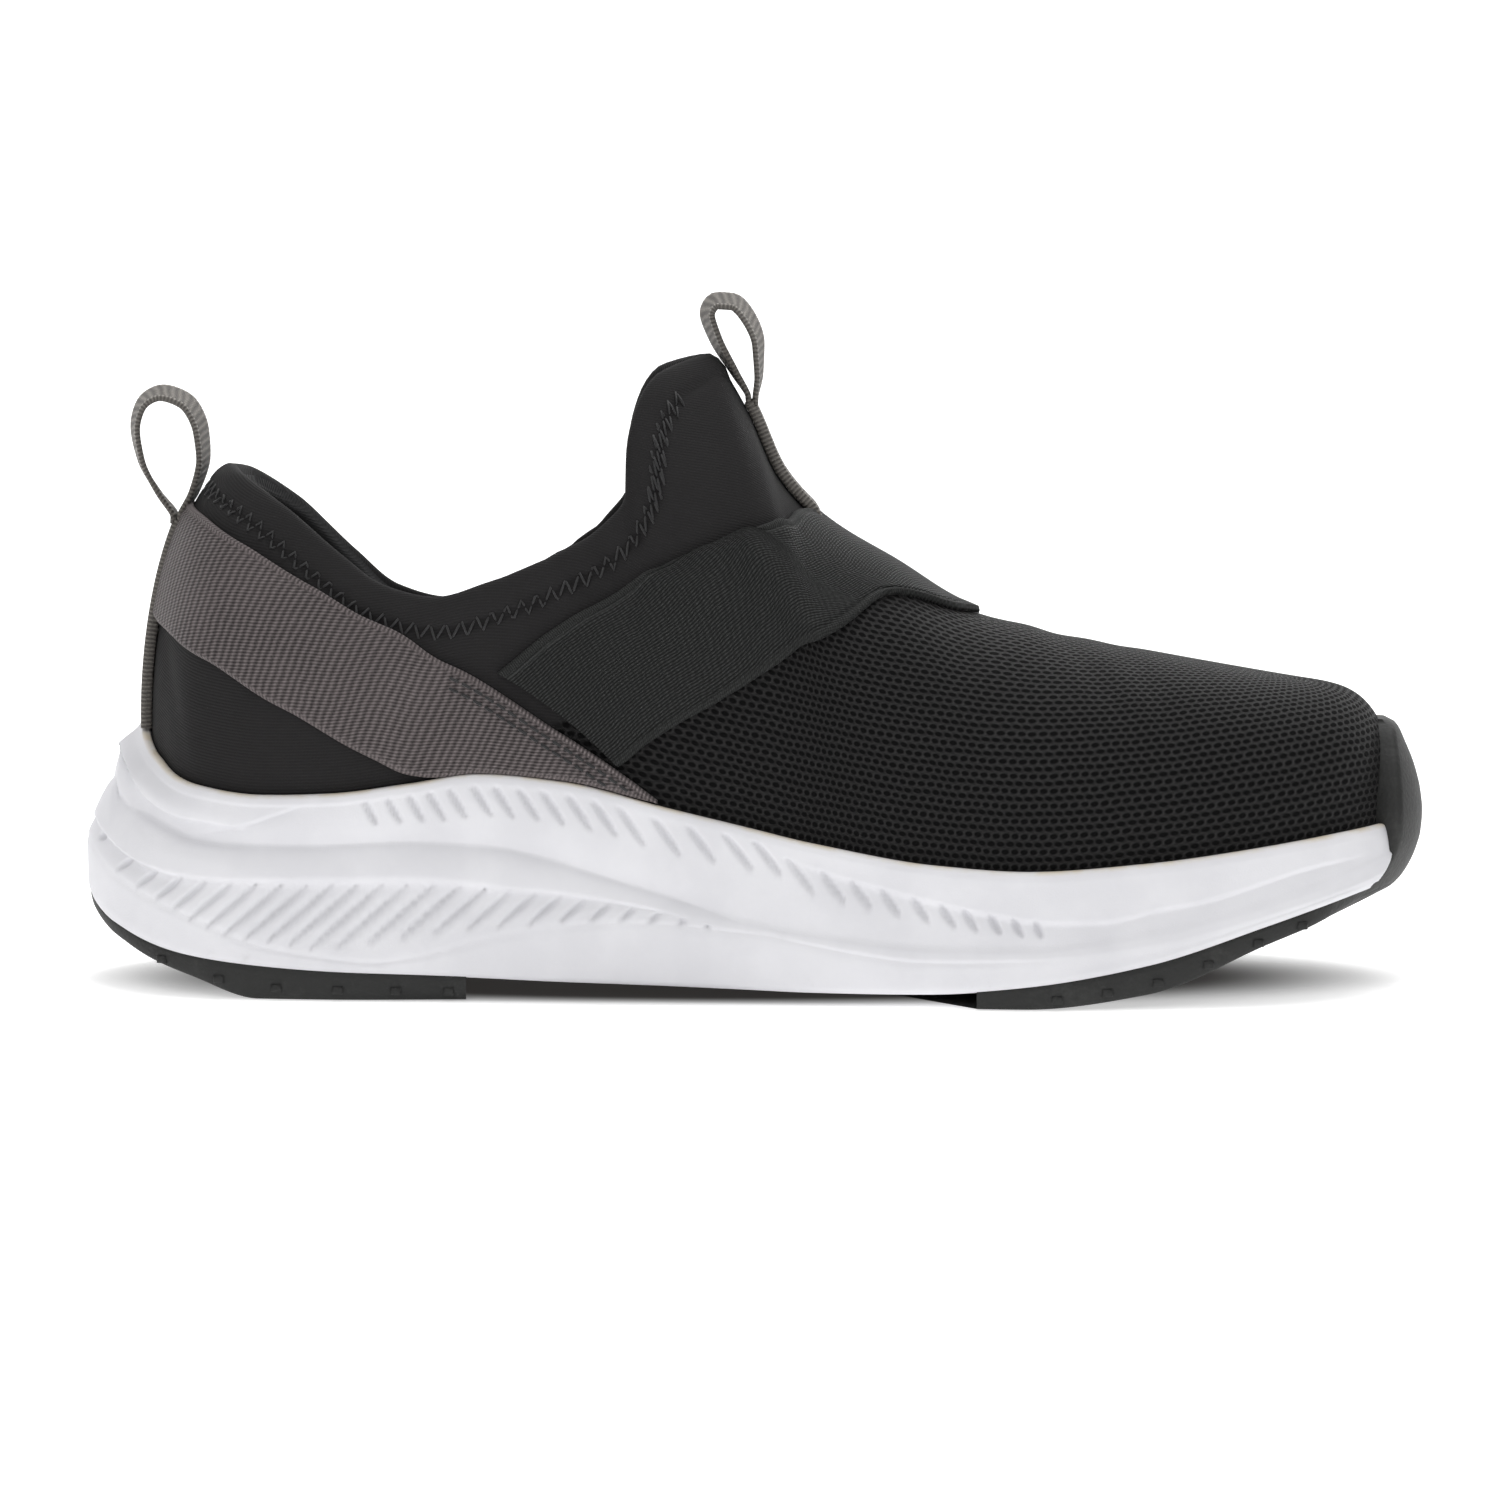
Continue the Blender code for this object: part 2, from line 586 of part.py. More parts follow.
def midsole_rings(stations, grow=0.0):
    """Rings of the foam from under the foot, up its carved side and down into the cup."""
    deep = tuck(stations)
    value = {name: side_value(name, stations) for name in SIDE_COLUMNS}
    carve = value["relief"]
    recess = toe_recess(stations)

    def ring(share, extra, height):
        inset = np.minimum(deep * share + extra + recess, deep - LIP) - grow
        return inset_ring(stations, inset, height)

    spread = [
        ring(0.0, 7.0, value["bottom"] - grow),
        ring(0.0, 1.4, value["bottom"] - grow),
        ring(0.0, 0.5, value["bottom"] + 1.2),
        ring(0.02, 0.0, value["rib_foot"] - 0.3),
        ring(0.03, RIB_DEPTH * carve, value["rib_foot"] + 0.6),
        ring(0.10, RIB_DEPTH * carve, value["rib_top"] - 0.6),
        ring(0.13, 0.0, value["rib_top"] + 0.5),
        ring(0.34, CREASE_DEPTH * carve * 0.9, value["wing"]),
        ring(0.36, 0.0, value["wing"] + 1.0),
        ring(0.42, 0.0, value["middle"]),
        inset_ring(stations, deep - LIP - grow, value["top"] - 1.2),
        inset_ring(stations, deep - LIP * 0.6 - grow, value["top"] + grow),
        inset_ring(stations, deep - GAP - grow, value["top"] + grow),
    ]
    spread[0] = inset_ring(stations, 7.0 + recess, value["bottom"] - grow)
    return spread


def make_midsole():
    stations = ring_stations()
    rings = midsole_rings(stations)
    deep = tuck(stations)
    bed = side_value("bed", stations)
    rings.append(inset_ring(stations, deep - GAP, bed))
    rings.append(inset_ring(stations, deep + BED_EDGE, bed))
    midsole = loft("midsole", rings, COLLECTION)
    finish(midsole, (0.78, 0.78, 0.80), 0.45)
    return midsole


def make_insole():
    stations = ring_stations()
    inset = tuck(stations) + WALL + INSOLE_CLEARANCE
    bed = side_value("bed", stations)
    rings = [
        inset_ring(stations, tuck(stations) + BED_EDGE, bed + OVERLAY_GAP),
        inset_ring(stations, inset + 1.0, bed + OVERLAY_GAP),
        inset_ring(stations, inset + 0.5, bed + OVERLAY_GAP + INSOLE_THICKNESS * 0.6),
        inset_ring(stations, inset + 1.5, bed + OVERLAY_GAP + INSOLE_THICKNESS),
    ]
    insole = loft("insole", rings, COLLECTION)
    finish(insole, (0.03, 0.03, 0.032), 0.9)
    return insole


def outsole_slab(name):
    """The rubber under the whole foot, before it is cut to its pads and to the foam."""
    stations = ring_stations()
    ground = side_value("ground", stations)
    top = side_value("bottom", stations) + RUBBER_OVERLAP
    recess = toe_recess(stations) * 0.3
    middle = ground * 0.6 + top * 0.4
    rings = [
        inset_ring(stations, 7.0 + recess, ground),
        inset_ring(stations, 2.2 + recess, ground),
        inset_ring(stations, 1.0 + recess, middle),
        inset_ring(stations, 0.9 + recess, top),
        inset_ring(stations, 7.0 + recess, top),
    ]
    return loft(name, rings, COLLECTION)


def plan_prism(name, table):
    """A tall prism from a plan outline whose medial half is given and mirrored."""
    medial = [((along - 0.5) * LENGTH, -out * BALL_WIDTH) for along, out in table]
    plan = medial + [(x, -y) for x, y in medial[::-1] if y]
    return prism(name, plan, -COLLAR_HEIGHT, COLLAR_HEIGHT, "Z", "cutters")


def cut_grooves(pad, name, places):
    """Flex grooves across the foot, worked out from the first and last place and the count."""
    first, last, count = places
    half_width = BALL_WIDTH
    for k in range(count):
        x = (first + (last - first) * k / (count - 1) - 0.5) * LENGTH
        lift = float(smooth_read([r[0] for r in SIDE], [r[7] for r in SIDE], x / LENGTH + 0.5))
        outline = [
            (x - GROOVE_WIDTH / 2, lift - 4.0 * GROOVE_DEPTH),
            (x + GROOVE_WIDTH / 2, lift - 4.0 * GROOVE_DEPTH),
            (x + GROOVE_WIDTH / 2, lift + GROOVE_DEPTH),
            (x - GROOVE_WIDTH / 2, lift + GROOVE_DEPTH),
        ]
        groove = prism(f"{name}_groove_{k}", outline, -half_width, half_width, "Y", "cutters")
        cut(pad, groove, "DIFFERENCE")


def foam_room():
    """The foam grown by the gap, to be cut from the rubber that meets it."""
    room = loft("foam_room", midsole_rings(ring_stations(), RUBBER_GAP), "cutters")
    room.hide_render = True
    return room


def make_heel_pad():
    pad = outsole_slab("outsole_heel")
    cut(pad, plan_prism("heel_plan", HEEL_PAD), "INTERSECT")
    keep_largest(pad)
    cut_grooves(pad, "heel", HEEL_GROOVES)
    cut(pad, foam_room(), "DIFFERENCE")
    keep_largest(pad)
    finish(pad, (0.035, 0.036, 0.035), 0.6)


def bumper_form():
    """Outer form of the toe bumper, level by level from under the toe to its upper edge."""
    stations = ring_stations()
    levels = (
        # height, inset from the widest outline
        (14.0, 9.0), (19.0, 6.0), (21.5, 4.4), (24.0, 2.8), (27.0, 1.4), (31.0, 0.3),
        (35.0, 0.0), (39.0, 0.4), (44.0, 1.6), (49.0, 3.6), (52.0, 5.0), (54.0, 6.4),
    )
    return loft("toe_bumper", [inset_ring(stations, d, h) for h, d in levels], COLLECTION)


def make_forefoot():
    pad = outsole_slab("outsole_forefoot")
    cut(pad, plan_prism("forefoot_plan", FOREFOOT_PAD), "INTERSECT")
    keep_largest(pad)
    cut_grooves(pad, "forefoot", FOREFOOT_GROOVES)
    bumper = bumper_form()
    wedge = prism("bumper_side", side_outline(BUMPER_OUTLINE), -BALL_WIDTH, BALL_WIDTH, "Y", "cutters")
    cut(bumper, wedge, "INTERSECT")
    cut(pad, bumper, "UNION")
    bpy.data.objects.remove(bumper, do_unlink=True)
    cut(pad, foam_room(), "DIFFERENCE")
    room = loft("upper_room", list(rib_grid(ring_stations(), OVERLAY_GAP)), "cutters")
    room.hide_render = True
    cut(pad, room, "DIFFERENCE")
    keep_largest(pad)
    finish(pad, (0.035, 0.036, 0.035), 0.55)


def ribbon(name, path, thickness, collection):
    """Webbing on edge: a path in the XZ plane with a thickness, TAPE_WIDTH wide along Y."""
    path = np.asarray(path, float)
    lean = np.gradient(path, axis=0)
    lean /= np.linalg.norm(lean, axis=1)[:, None]
    side = np.stack([-lean[:, 1], lean[:, 0]], axis=1) * thickness / 2
    vertices = []
    for point, step in zip(path, side):
        for sign, across in ((1, -1), (1, 1), (-1, 1), (-1, -1)):
            x, z = point + step * sign
            vertices.append((x, across * TAPE_WIDTH / 2, z))
    count = len(path)
    faces = [(0, 1, 2, 3), tuple(range(4 * count - 4, 4 * count))]
    for k in range(count - 1):
        here, ahead = 4 * k, 4 * (k + 1)
        faces += [(here + c, here + (c + 1) % 4, ahead + (c + 1) % 4, ahead + c) for c in range(4)]
    thing = new_object(name, vertices, faces, collection)
    tidy_mesh(thing)
    return thing


def smooth_path(points, steps):
    """An open curve through the points."""
    points = np.asarray(points, float)
    places = np.arange(len(points))
    at = np.linspace(0, len(points) - 1, steps * (len(points) - 1) + 1)
    return np.column_stack([smooth_read(places, points[:, c], at) for c in (0, 1)])


def loop_path(foot, shape, rise, lean):
    """The loop's middle line: two legs that start side by side in the doubled tape."""
    half = (TAPE_THICKNESS + LOOP_LEG_GAP) / 2
    sunk, clear = -TAPE_THICKNESS / 2, TAPE_THICKNESS * 0.8
    points = [(foot[0] + lean - half, foot[1] + sunk), (foot[0] + lean - half, foot[1] + clear)]
    points += [(foot[0] + x * rise, foot[1] + z * rise) for x, z in shape]
    points += [(foot[0] + lean + half, foot[1] + clear), (foot[0] + lean + half, foot[1] + sunk)]
    return smooth_path(points, 3)


def join_loop(name, loop, tail):
    """One piece of webbing: a loop whose two ends lie doubled on the upper."""
    ring = ribbon(name, loop, TAPE_THICKNESS, COLLECTION)
    end = ribbon(name + "_tail", tail, 2 * TAPE_THICKNESS, "cutters")
    end.hide_render = True
    cut(ring, end, "UNION")
    keep_largest(ring)
    finish(ring, (0.16, 0.15, 0.14), 0.8)


def make_heel_loop():
    stations = ring_stations()
    grid = rib_grid(stations)
    back = grid[:, 0]
    out = grid_normals(grid, stations)[:, 0]
    lie = back + out * (OVERLAY_GAP + TAPE_THICKNESS)
    heights = np.linspace(float(side_value("top", stations)[0]) + 2 * GAP, HEEL_TAPE_TOP, 9)
    order = np.argsort(lie[:, 2])
    tail = [(float(np.interp(z, lie[order, 2], lie[order, 0])), z) for z in heights]
    join_loop("heel_loop", loop_path(tail[-1], HEEL_LOOP, HEEL_LOOP_RISE, HEEL_LOOP_LEAN), tail)


def make_tongue_loop():
    stations = ring_stations()
    grid = rib_grid(stations)
    ridge = grid[-1]
    out = grid_normals(grid, stations)[-1]
    lie = ridge + out * (OVERLAY_GAP + TAPE_THICKNESS)
    half = len(stations) // 2
    front = lie[:half + 1]
    band_edge = (BAND_OUTLINE[1][0] - 0.5) * LENGTH
    first = (TONGUE_TAPE_TOP - 0.5) * LENGTH
    along = np.linspace(band_edge - 2 * GAP, first, 7)
    closed = ring_stations()[:half + 1] > TONGUE_STATION
    tail = [(x, float(np.interp(x, front[closed, 0], front[closed, 2]))) for x in along]
    path = loop_path(tail[-1], TONGUE_LOOP, TONGUE_LOOP_RISE, TONGUE_LOOP_LEAN)
    join_loop("tongue_loop", path, tail)


def main():
    clear_scene()
    for name in (COLLECTION, "cutters"):
        old = bpy.data.collections.get(name)
        if old:
            bpy.data.collections.remove(old)
        bpy.context.scene.collection.children.link(bpy.data.collections.new(name))
    make_midsole()
    make_insole()
    make_upper()
    make_band()
    make_straps()
    make_heel_loop()
    make_tongue_loop()
    make_heel_pad()
    make_forefoot()


main()
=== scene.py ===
"""Looks of the slip-on sneaker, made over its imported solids.

Sizes are in millimetres in the part's own frame: toe at +X, inner side at -Y, up +Z. They
become metres when a mesh is made.
"""
from __future__ import annotations

import logging
import math
from dataclasses import dataclass
from enum import Enum

import bpy
import numpy as np
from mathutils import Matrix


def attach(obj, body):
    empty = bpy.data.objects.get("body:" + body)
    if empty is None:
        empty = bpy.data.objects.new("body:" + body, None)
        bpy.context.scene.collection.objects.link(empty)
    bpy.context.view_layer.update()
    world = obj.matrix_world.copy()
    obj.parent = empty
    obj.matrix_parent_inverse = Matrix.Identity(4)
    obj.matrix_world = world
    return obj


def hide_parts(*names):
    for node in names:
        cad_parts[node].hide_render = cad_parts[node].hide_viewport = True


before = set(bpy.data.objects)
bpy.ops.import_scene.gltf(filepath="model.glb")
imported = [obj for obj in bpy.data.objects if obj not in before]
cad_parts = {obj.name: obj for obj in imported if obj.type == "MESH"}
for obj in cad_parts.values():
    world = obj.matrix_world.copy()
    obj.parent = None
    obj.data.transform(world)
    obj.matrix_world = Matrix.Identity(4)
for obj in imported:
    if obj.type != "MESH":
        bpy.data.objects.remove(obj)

MM = 0.001
LOG = logging.getLogger("slip_on_sneaker")
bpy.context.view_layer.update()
Pair = tuple[float, float]
Color = tuple[float, float, float]

# The last and the sole, as in the part's source
ROWS = 12
RIB_STEPS = 8.0
OUTLINE = (
    # along, medial, lateral, tuck
    (0.000, 0.000, 0.000, 14.0), (0.024, 0.180, 0.180, 12.2), (0.085, 0.315, 0.315, 7.4),
    (0.190, 0.365, 0.368, 5.0), (0.310, 0.358, 0.385, 5.0), (0.430, 0.365, 0.410, 4.6),
    (0.540, 0.415, 0.455, 4.2), (0.630, 0.475, 0.490, 4.0), (0.710, 0.500, 0.485, 4.0),
    (0.800, 0.470, 0.430, 4.2), (0.890, 0.420, 0.350, 4.6), (0.966, 0.300, 0.195, 5.2),
    (1.000, 0.075, -0.075, 5.8),
)
SIDE = (
    # along, top, middle, wing, rib_top, rib_foot, bottom, ground, bed
    (0.000, 53.0, 47.0, 40.5, 34.0, 28.5, 19.5, 17.0, 31.0),
    (0.024, 46.6, 41.5, 36.2, 30.2, 23.8, 13.2, 10.3, 31.0),
    (0.085, 41.8, 36.6, 31.3, 24.6, 16.5, 8.2, 4.0, 31.0),
    (0.135, 40.5, 35.4, 30.5, 24.0, 11.6, 6.6, 0.0, 31.0),
    (0.190, 41.0, 35.6, 30.6, 24.1, 8.8, 5.6, 0.0, 31.0),
    (0.250, 43.0, 37.0, 31.1, 24.2, 8.4, 5.0, 0.0, 31.0),
    (0.300, 44.9, 37.8, 30.4, 23.3, 11.4, 4.4, 0.0, 31.0),
    (0.360, 43.4, 35.5, 27.2, 21.4, 14.4, 3.6, 0.0, 30.0),
    (0.440, 38.0, 29.6, 20.4, 18.0, 15.2, 2.9, 0.0, 27.5),
    (0.500, 34.3, 28.6, 16.4, 15.0, 13.6, 2.5, 0.0, 24.5),
    (0.540, 31.9, 27.0, 14.6, 13.2, 11.8, 2.3, 0.0, 22.5),
    (0.630, 28.2, 21.6, 12.6, 11.0, 9.2, 2.8, 0.0, 20.0),
    (0.700, 27.2, 18.2, 12.6, 11.2, 9.7, 4.4, 0.0, 19.5),
    (0.790, 28.5, 20.0, 15.6, 14.0, 12.3, 8.4, 2.6, 20.0),
    (0.880, 31.3, 25.2, 21.2, 19.7, 18.2, 15.8, 12.0, 22.5),
    (0.960, 33.7, 29.6, 27.2, 26.0, 24.4, 22.0, 19.2, 26.2),
    (1.000, 34.3, 32.4, 31.2, 30.2, 28.6, 24.6, 22.2, 27.4),
)
SIDE_COLUMNS = ("top", "middle", "wing", "rib_top", "rib_foot", "bottom", "ground", "bed")
RIM = (
    # station, along, out, height, of, lateral_drop, fullness, belly
    (0.00, 0.1178, 0.000, 1.000, "collar", 0.0, 1.90, 0.0),
    (1.00, 0.1270, 0.105, 0.989, "collar", 0.0, 1.90, 0.3),
    (2.00, 0.1600, 0.210, 0.935, "collar", 1.0, 1.85, 0.8),
    (2.60, 0.2020, 0.252, 0.846, "collar", 3.0, 1.75, 1.0),
    (3.10, 0.2340, 0.276, 0.790, "collar", 4.5, 1.65, 1.2),
    (3.50, 0.2690, 0.288, 0.771, "collar", 5.0, 1.60, 1.2),
    (3.90, 0.3050, 0.286, 0.797, "collar", 5.0, 1.60, 1.0),
    (4.30, 0.3480, 0.268, 0.841, "collar", 3.5, 1.62, 0.8),
    (4.70, 0.3880, 0.232, 0.900, "collar", 1.5, 1.65, 0.5),
    (4.95, 0.4050, 0.212, 0.795, "tongue", 0.5, 1.68, 0.3),
    (5.15, 0.4060, 0.196, 0.862, "tongue", 0.0, 1.72, 0.2),
    (5.35, 0.4130, 0.168, 0.925, "tongue", 0.0, 1.78, 0.0),
    (5.55, 0.4310, 0.114, 0.980, "tongue", 0.0, 1.84, 0.0),
    (5.75, 0.4660, 0.000, 1.000, "tongue", 0.0, 1.88, 0.0),
    (6.00, 0.4945, 0.000, 0.920, "tongue", 0.0, 1.90, 0.0),
    (6.25, 0.5190, 0.000, 0.807, "tongue", 0.0, 1.90, 0.0),
    (6.50, 0.5500, 0.000, 0.735, "tongue", 0.0, 1.92, 0.0),
    (7.00, 0.6070, 0.000, 0.659, "tongue", 0.0, 1.96, 0.4),
    (7.50, 0.6590, 0.000, 0.592, "tongue", 0.0, 2.02, 1.0),
    (8.00, 0.7110, 0.000, 1.170, "toe", 0.0, 2.12, 1.6),
    (9.00, 0.7930, 0.000, 1.097, "toe", 0.0, 2.30, 2.0),
    (10.0, 0.8620, 0.000, 1.040, "toe", 0.0, 2.50, 1.8),
    (11.0, 0.9010, 0.000, 1.008, "toe", 0.0, 2.65, 1.0),
    (12.0, 0.9150, 0.000, 1.000, "toe", 0.0, 2.75, 0.0),
)
HEIGHTS = {"collar": 104.6, "tongue": 126.4, "toe": 60.6}


class Side(Enum):
    """Sides of a left shoe."""

    MEDIAL = "medial"
    LATERAL = "lateral"

    def stations(self, t: np.ndarray) -> np.ndarray:
        """Stations given for the medial side, moved to this side."""
        return 2 * ROWS - t if self is Side.LATERAL else t


class Slot(Enum):
    """Material slots of the part's record."""

    UPPER = "upper_knit"
    ELASTIC = "elastic"
    WEBBING = "webbing"
    INSOLE = "insole_cloth"
    FOAM = "foam"
    RUBBER = "rubber"


def smooth_read(places, values, at) -> np.ndarray:
    """Cubic through the values with slopes that never overshoot them.

    Args:
        places: rising places of the values.
        values: the values there.
        at: where to read, of any shape.

    Returns:
        The values read, in the shape of at.
    """
    places = np.asarray(places, float)
    values = np.asarray(values, float)
    at = np.clip(np.asarray(at, float), places[0], places[-1])
    runs = np.diff(places)
    rises = np.diff(values) / runs
    slopes = np.zeros(len(values))
    for k in range(1, len(values) - 1):
        if rises[k - 1] * rises[k] > 0.0:
            before = 2.0 * runs[k] + runs[k - 1]
            after = runs[k] + 2.0 * runs[k - 1]
            slopes[k] = (before + after) / (before / rises[k - 1] + after / rises[k])
    slopes[0] = rises[0]
    slopes[-1] = rises[-1]
    cell = np.clip(np.searchsorted(places, at, side="right") - 1, 0, len(runs) - 1)
    u = (at - places[cell]) / runs[cell]
    step = runs[cell]
    return (values[cell] * (1 + 2 * u) * (1 - u) ** 2 + slopes[cell] * step * u * (1 - u) ** 2
            + values[cell + 1] * u * u * (3 - 2 * u) + slopes[cell + 1] * step * u * u * (u - 1))


def side_height(name: str, along) -> np.ndarray:
    """A named height of the sole's side at shares of the length."""
    column = 1 + SIDE_COLUMNS.index(name)
    return smooth_read([row[0] for row in SIDE], [row[column] for row in SIDE], along)


def read_line(points: tuple[Pair, ...], at) -> np.ndarray:
    """Height of a side-view line, given as (along, height) pairs, at each place along."""
    return smooth_read([p[0] for p in points], [p[1] for p in points], at)


def ease(share) -> np.ndarray:
    """Smooth step from 0 to 1 as share goes from 0 to 1."""
    share = np.clip(share, 0.0, 1.0)
    return share * share * (3.0 - 2.0 * share)


def unit(vectors: np.ndarray) -> np.ndarray:
    """The vectors scaled to length 1 along their last axis."""
    return vectors / (np.linalg.norm(vectors, axis=-1, keepdims=True) + 1e-12)


def run_lengths(path: np.ndarray) -> np.ndarray:
    """Distance covered up to each point of a path."""
    steps = np.linalg.norm(np.diff(path, axis=0), axis=1)
    return np.concatenate([[0.0], np.cumsum(steps)])


def even_path(path: np.ndarray, spacing: float) -> np.ndarray:
    """The path read again at even distances of about the spacing given."""
    covered = run_lengths(path)
    count = max(2, int(round(covered[-1] / spacing)) + 1)
    at = np.linspace(0.0, covered[-1], count)
    return np.column_stack([np.interp(at, covered, path[:, c]) for c in range(path.shape[1])])


@dataclass(frozen=True)
class ShoeForm:
    """The shoe's form: its sole outline, side heights, rim and the ribs between them.

    Station 0 is the heel tip and 12 the toe tip; 0 to 12 is the medial side and 12 to 24 the
    lateral one. Rib step 0 is the foam's edge and 8 the collar's rim or the ridge.
    """

    length: float = 270.0
    ball_width: float = 97.0
    ridge_shift: float = -4.0
    tongue_station: float = 5.75
    square_stations: tuple[float, ...] = (0.0, 4.2, 5.5, 9.0, 11.5, 12.0)
    square_shares: tuple[float, ...] = (0.0, 0.0, 1.0, 1.0, 0.0, 0.0)

    def fold(self, t: np.ndarray) -> np.ndarray:
        """Fold the lateral stations onto the medial ones."""
        t = np.mod(t, 2 * ROWS)
        return np.where(t <= ROWS, t, 2 * ROWS - t)

    def outline(self, t: np.ndarray) -> tuple[np.ndarray, np.ndarray]:
        """Points of the sole's widest outline and the directions out of it.

        Args:
            t: stations.

        Returns:
            Points and outward directions in plan.
        """
        medial = [((a - 0.5) * self.length, -m * self.ball_width) for a, m, _, _ in OUTLINE]
        lateral = [((a - 0.5) * self.length, s * self.ball_width) for a, _, s, _ in OUTLINE[1:-1]]
        knots = np.array(medial + lateral[::-1])
        count = len(knots)
        cell = np.floor(t).astype(int) % count
        u = (t - np.floor(t))[..., None]
        before, here = knots[cell - 1], knots[cell]
        ahead, past = knots[(cell + 1) % count], knots[(cell + 2) % count]
        lean, lean_ahead = (ahead - before) / 2.0, (past - here) / 2.0
        point = (here * (1 + 2 * u) * (1 - u) ** 2 + lean * u * (1 - u) ** 2
                 + ahead * u * u * (3 - 2 * u) + lean_ahead * u * u * (u - 1))
        slope = (here * (6 * u * u - 6 * u) + lean * (1 - 4 * u + 3 * u * u)
                 + ahead * (6 * u - 6 * u * u) + lean_ahead * (3 * u * u - 2 * u))
        slope = unit(slope)
        return point, np.stack([slope[..., 1], -slope[..., 0]], axis=-1)

    def inset(self, t: np.ndarray, inset, height) -> np.ndarray:
        """Points of the outline moved in by inset, at the heights given."""
        point, outward = self.outline(t)
        moved = point - outward * np.broadcast_to(inset, t.shape)[..., None]
        return np.concatenate([moved, np.broadcast_to(height, t.shape)[..., None]], axis=-1)

    def tuck(self, t: np.ndarray) -> np.ndarray:
        """How far in from the outline the upper stands."""
        return smooth_read(np.arange(ROWS + 1), [row[3] for row in OUTLINE], self.fold(t))

    def side(self, name: str, t: np.ndarray) -> np.ndarray:
        """A named height of the sole's side at each station."""
        rows = np.arange(ROWS + 1)
        along = smooth_read(rows, [row[0] for row in OUTLINE], self.fold(t))
        return side_height(name, along)

    def rim_column(self, index: int, t: np.ndarray) -> np.ndarray:
        """A column of the rim's table at each station."""
        return smooth_read([row[0] for row in RIM], [row[index] for row in RIM], self.fold(t))

    def rim(self, t: np.ndarray) -> np.ndarray:
        """Top end of each rib: the collar's edge, or the ridge over the foot."""
        is_lateral = np.mod(t, 2 * ROWS) > ROWS
        heights = [row[3] * HEIGHTS[row[4]] for row in RIM]
        height = smooth_read([row[0] for row in RIM], heights, self.fold(t))
        height = height - np.where(is_lateral, self.rim_column(5, t), 0.0)
        along = (self.rim_column(1, t) - 0.5) * self.length
        out = self.rim_column(2, t) * self.ball_width
        shift = smooth_read([0.0, 7.0, ROWS], [0.0, 0.0, self.ridge_shift], self.fold(t))
        across = np.where(is_lateral, out, -out) + shift
        return np.stack([along, across, height], axis=-1)

    def point(self, t: np.ndarray, s: np.ndarray) -> np.ndarray:
        """Points of the upper's outside at stations t and rib steps s of one shape."""
        foot = self.inset(t, self.tuck(t), self.side("top", t))
        _, outward = self.outline(t)
        rim = self.rim(t)
        power = 2.0 / self.rim_column(6, t)
        square = smooth_read(self.square_stations, self.square_shares, self.fold(t))
        angle = np.clip(s / RIB_STEPS, 0.0, 1.0) * math.pi / 2
        lean = 1.0 - np.maximum(np.cos(angle), 0.0) ** power
        climb = np.maximum(np.sin(angle), 0.0) ** power
        swell = self.rim_column(7, t) * np.sin(2 * angle)
        early = lean + (1.0 - (1.0 - lean) ** 2 - lean) * square
        place = foot + (rim - foot) * np.stack([early, lean, climb], axis=-1)
        place[..., :2] += outward * swell[..., None]
        return place

    def normal(self, t: np.ndarray, s: np.ndarray) -> np.ndarray:
        """Directions out of the upper's outside; both sides share theirs on the ridge."""
        def one(at: np.ndarray) -> np.ndarray:
            around = self.point(at + 0.02, s) - self.point(at - 0.02, s)
            low, high = np.clip(s - 0.1, 0.0, RIB_STEPS), np.clip(s + 0.1, 0.0, RIB_STEPS)
            return unit(np.cross(around, self.point(at, high) - self.point(at, low)))
        here = one(t)
        other = one(np.mod(2 * ROWS - t, 2 * ROWS))
        share = ease((s - (RIB_STEPS - 0.8)) / 0.8) * 0.5
        closed = ease((self.fold(t) - self.tongue_station + 0.05) / 0.1)
        weight = (share * closed)[..., None]
        return unit(here * (1 - weight) + other * weight)

    def lay(self, t: np.ndarray, s: np.ndarray, lift) -> np.ndarray:
        """Points a lift above the upper's outside."""
        lift = np.broadcast_to(lift, np.shape(t))
        return self.point(t, s) + self.normal(t, s) * lift[..., None]

    def find(self, place: np.ndarray, flat: tuple[int, int], guess: Pair) -> Pair:
        """Station and rib step whose point has two wanted coordinates.

        Args:
            place: the two wanted coordinates.
            flat: which coordinates they are.
            guess: station and step to start from.

        Returns:
            The station and rib step.
        """
        here = np.array(guess, float)
        axes = list(flat)
        for _ in range(30):
            t, s = here[0], here[1]
            probe = self.point(np.array([t, t + 1e-3, t]), np.array([s, s, s - 1e-3]))[:, axes]
            slope = np.column_stack([(probe[1] - probe[0]) / 1e-3, (probe[0] - probe[2]) / 1e-3])
            step = np.linalg.lstsq(slope, np.asarray(place) - probe[0], rcond=None)[0]
            here = here + np.clip(step, -0.4, 0.4)
            here[1] = np.clip(here[1], 0.002, RIB_STEPS)
        return float(here[0]), float(here[1])

    def trace(self, line: tuple[Pair, ...], guess: Pair) -> list[Pair]:
        """Stations and rib steps under the points of a side-view line, one after another."""
        found = []
        for point in line:
            guess = self.find(np.array(point), (0, 2), guess)
            found.append(guess)
        return found


FORM = ShoeForm()


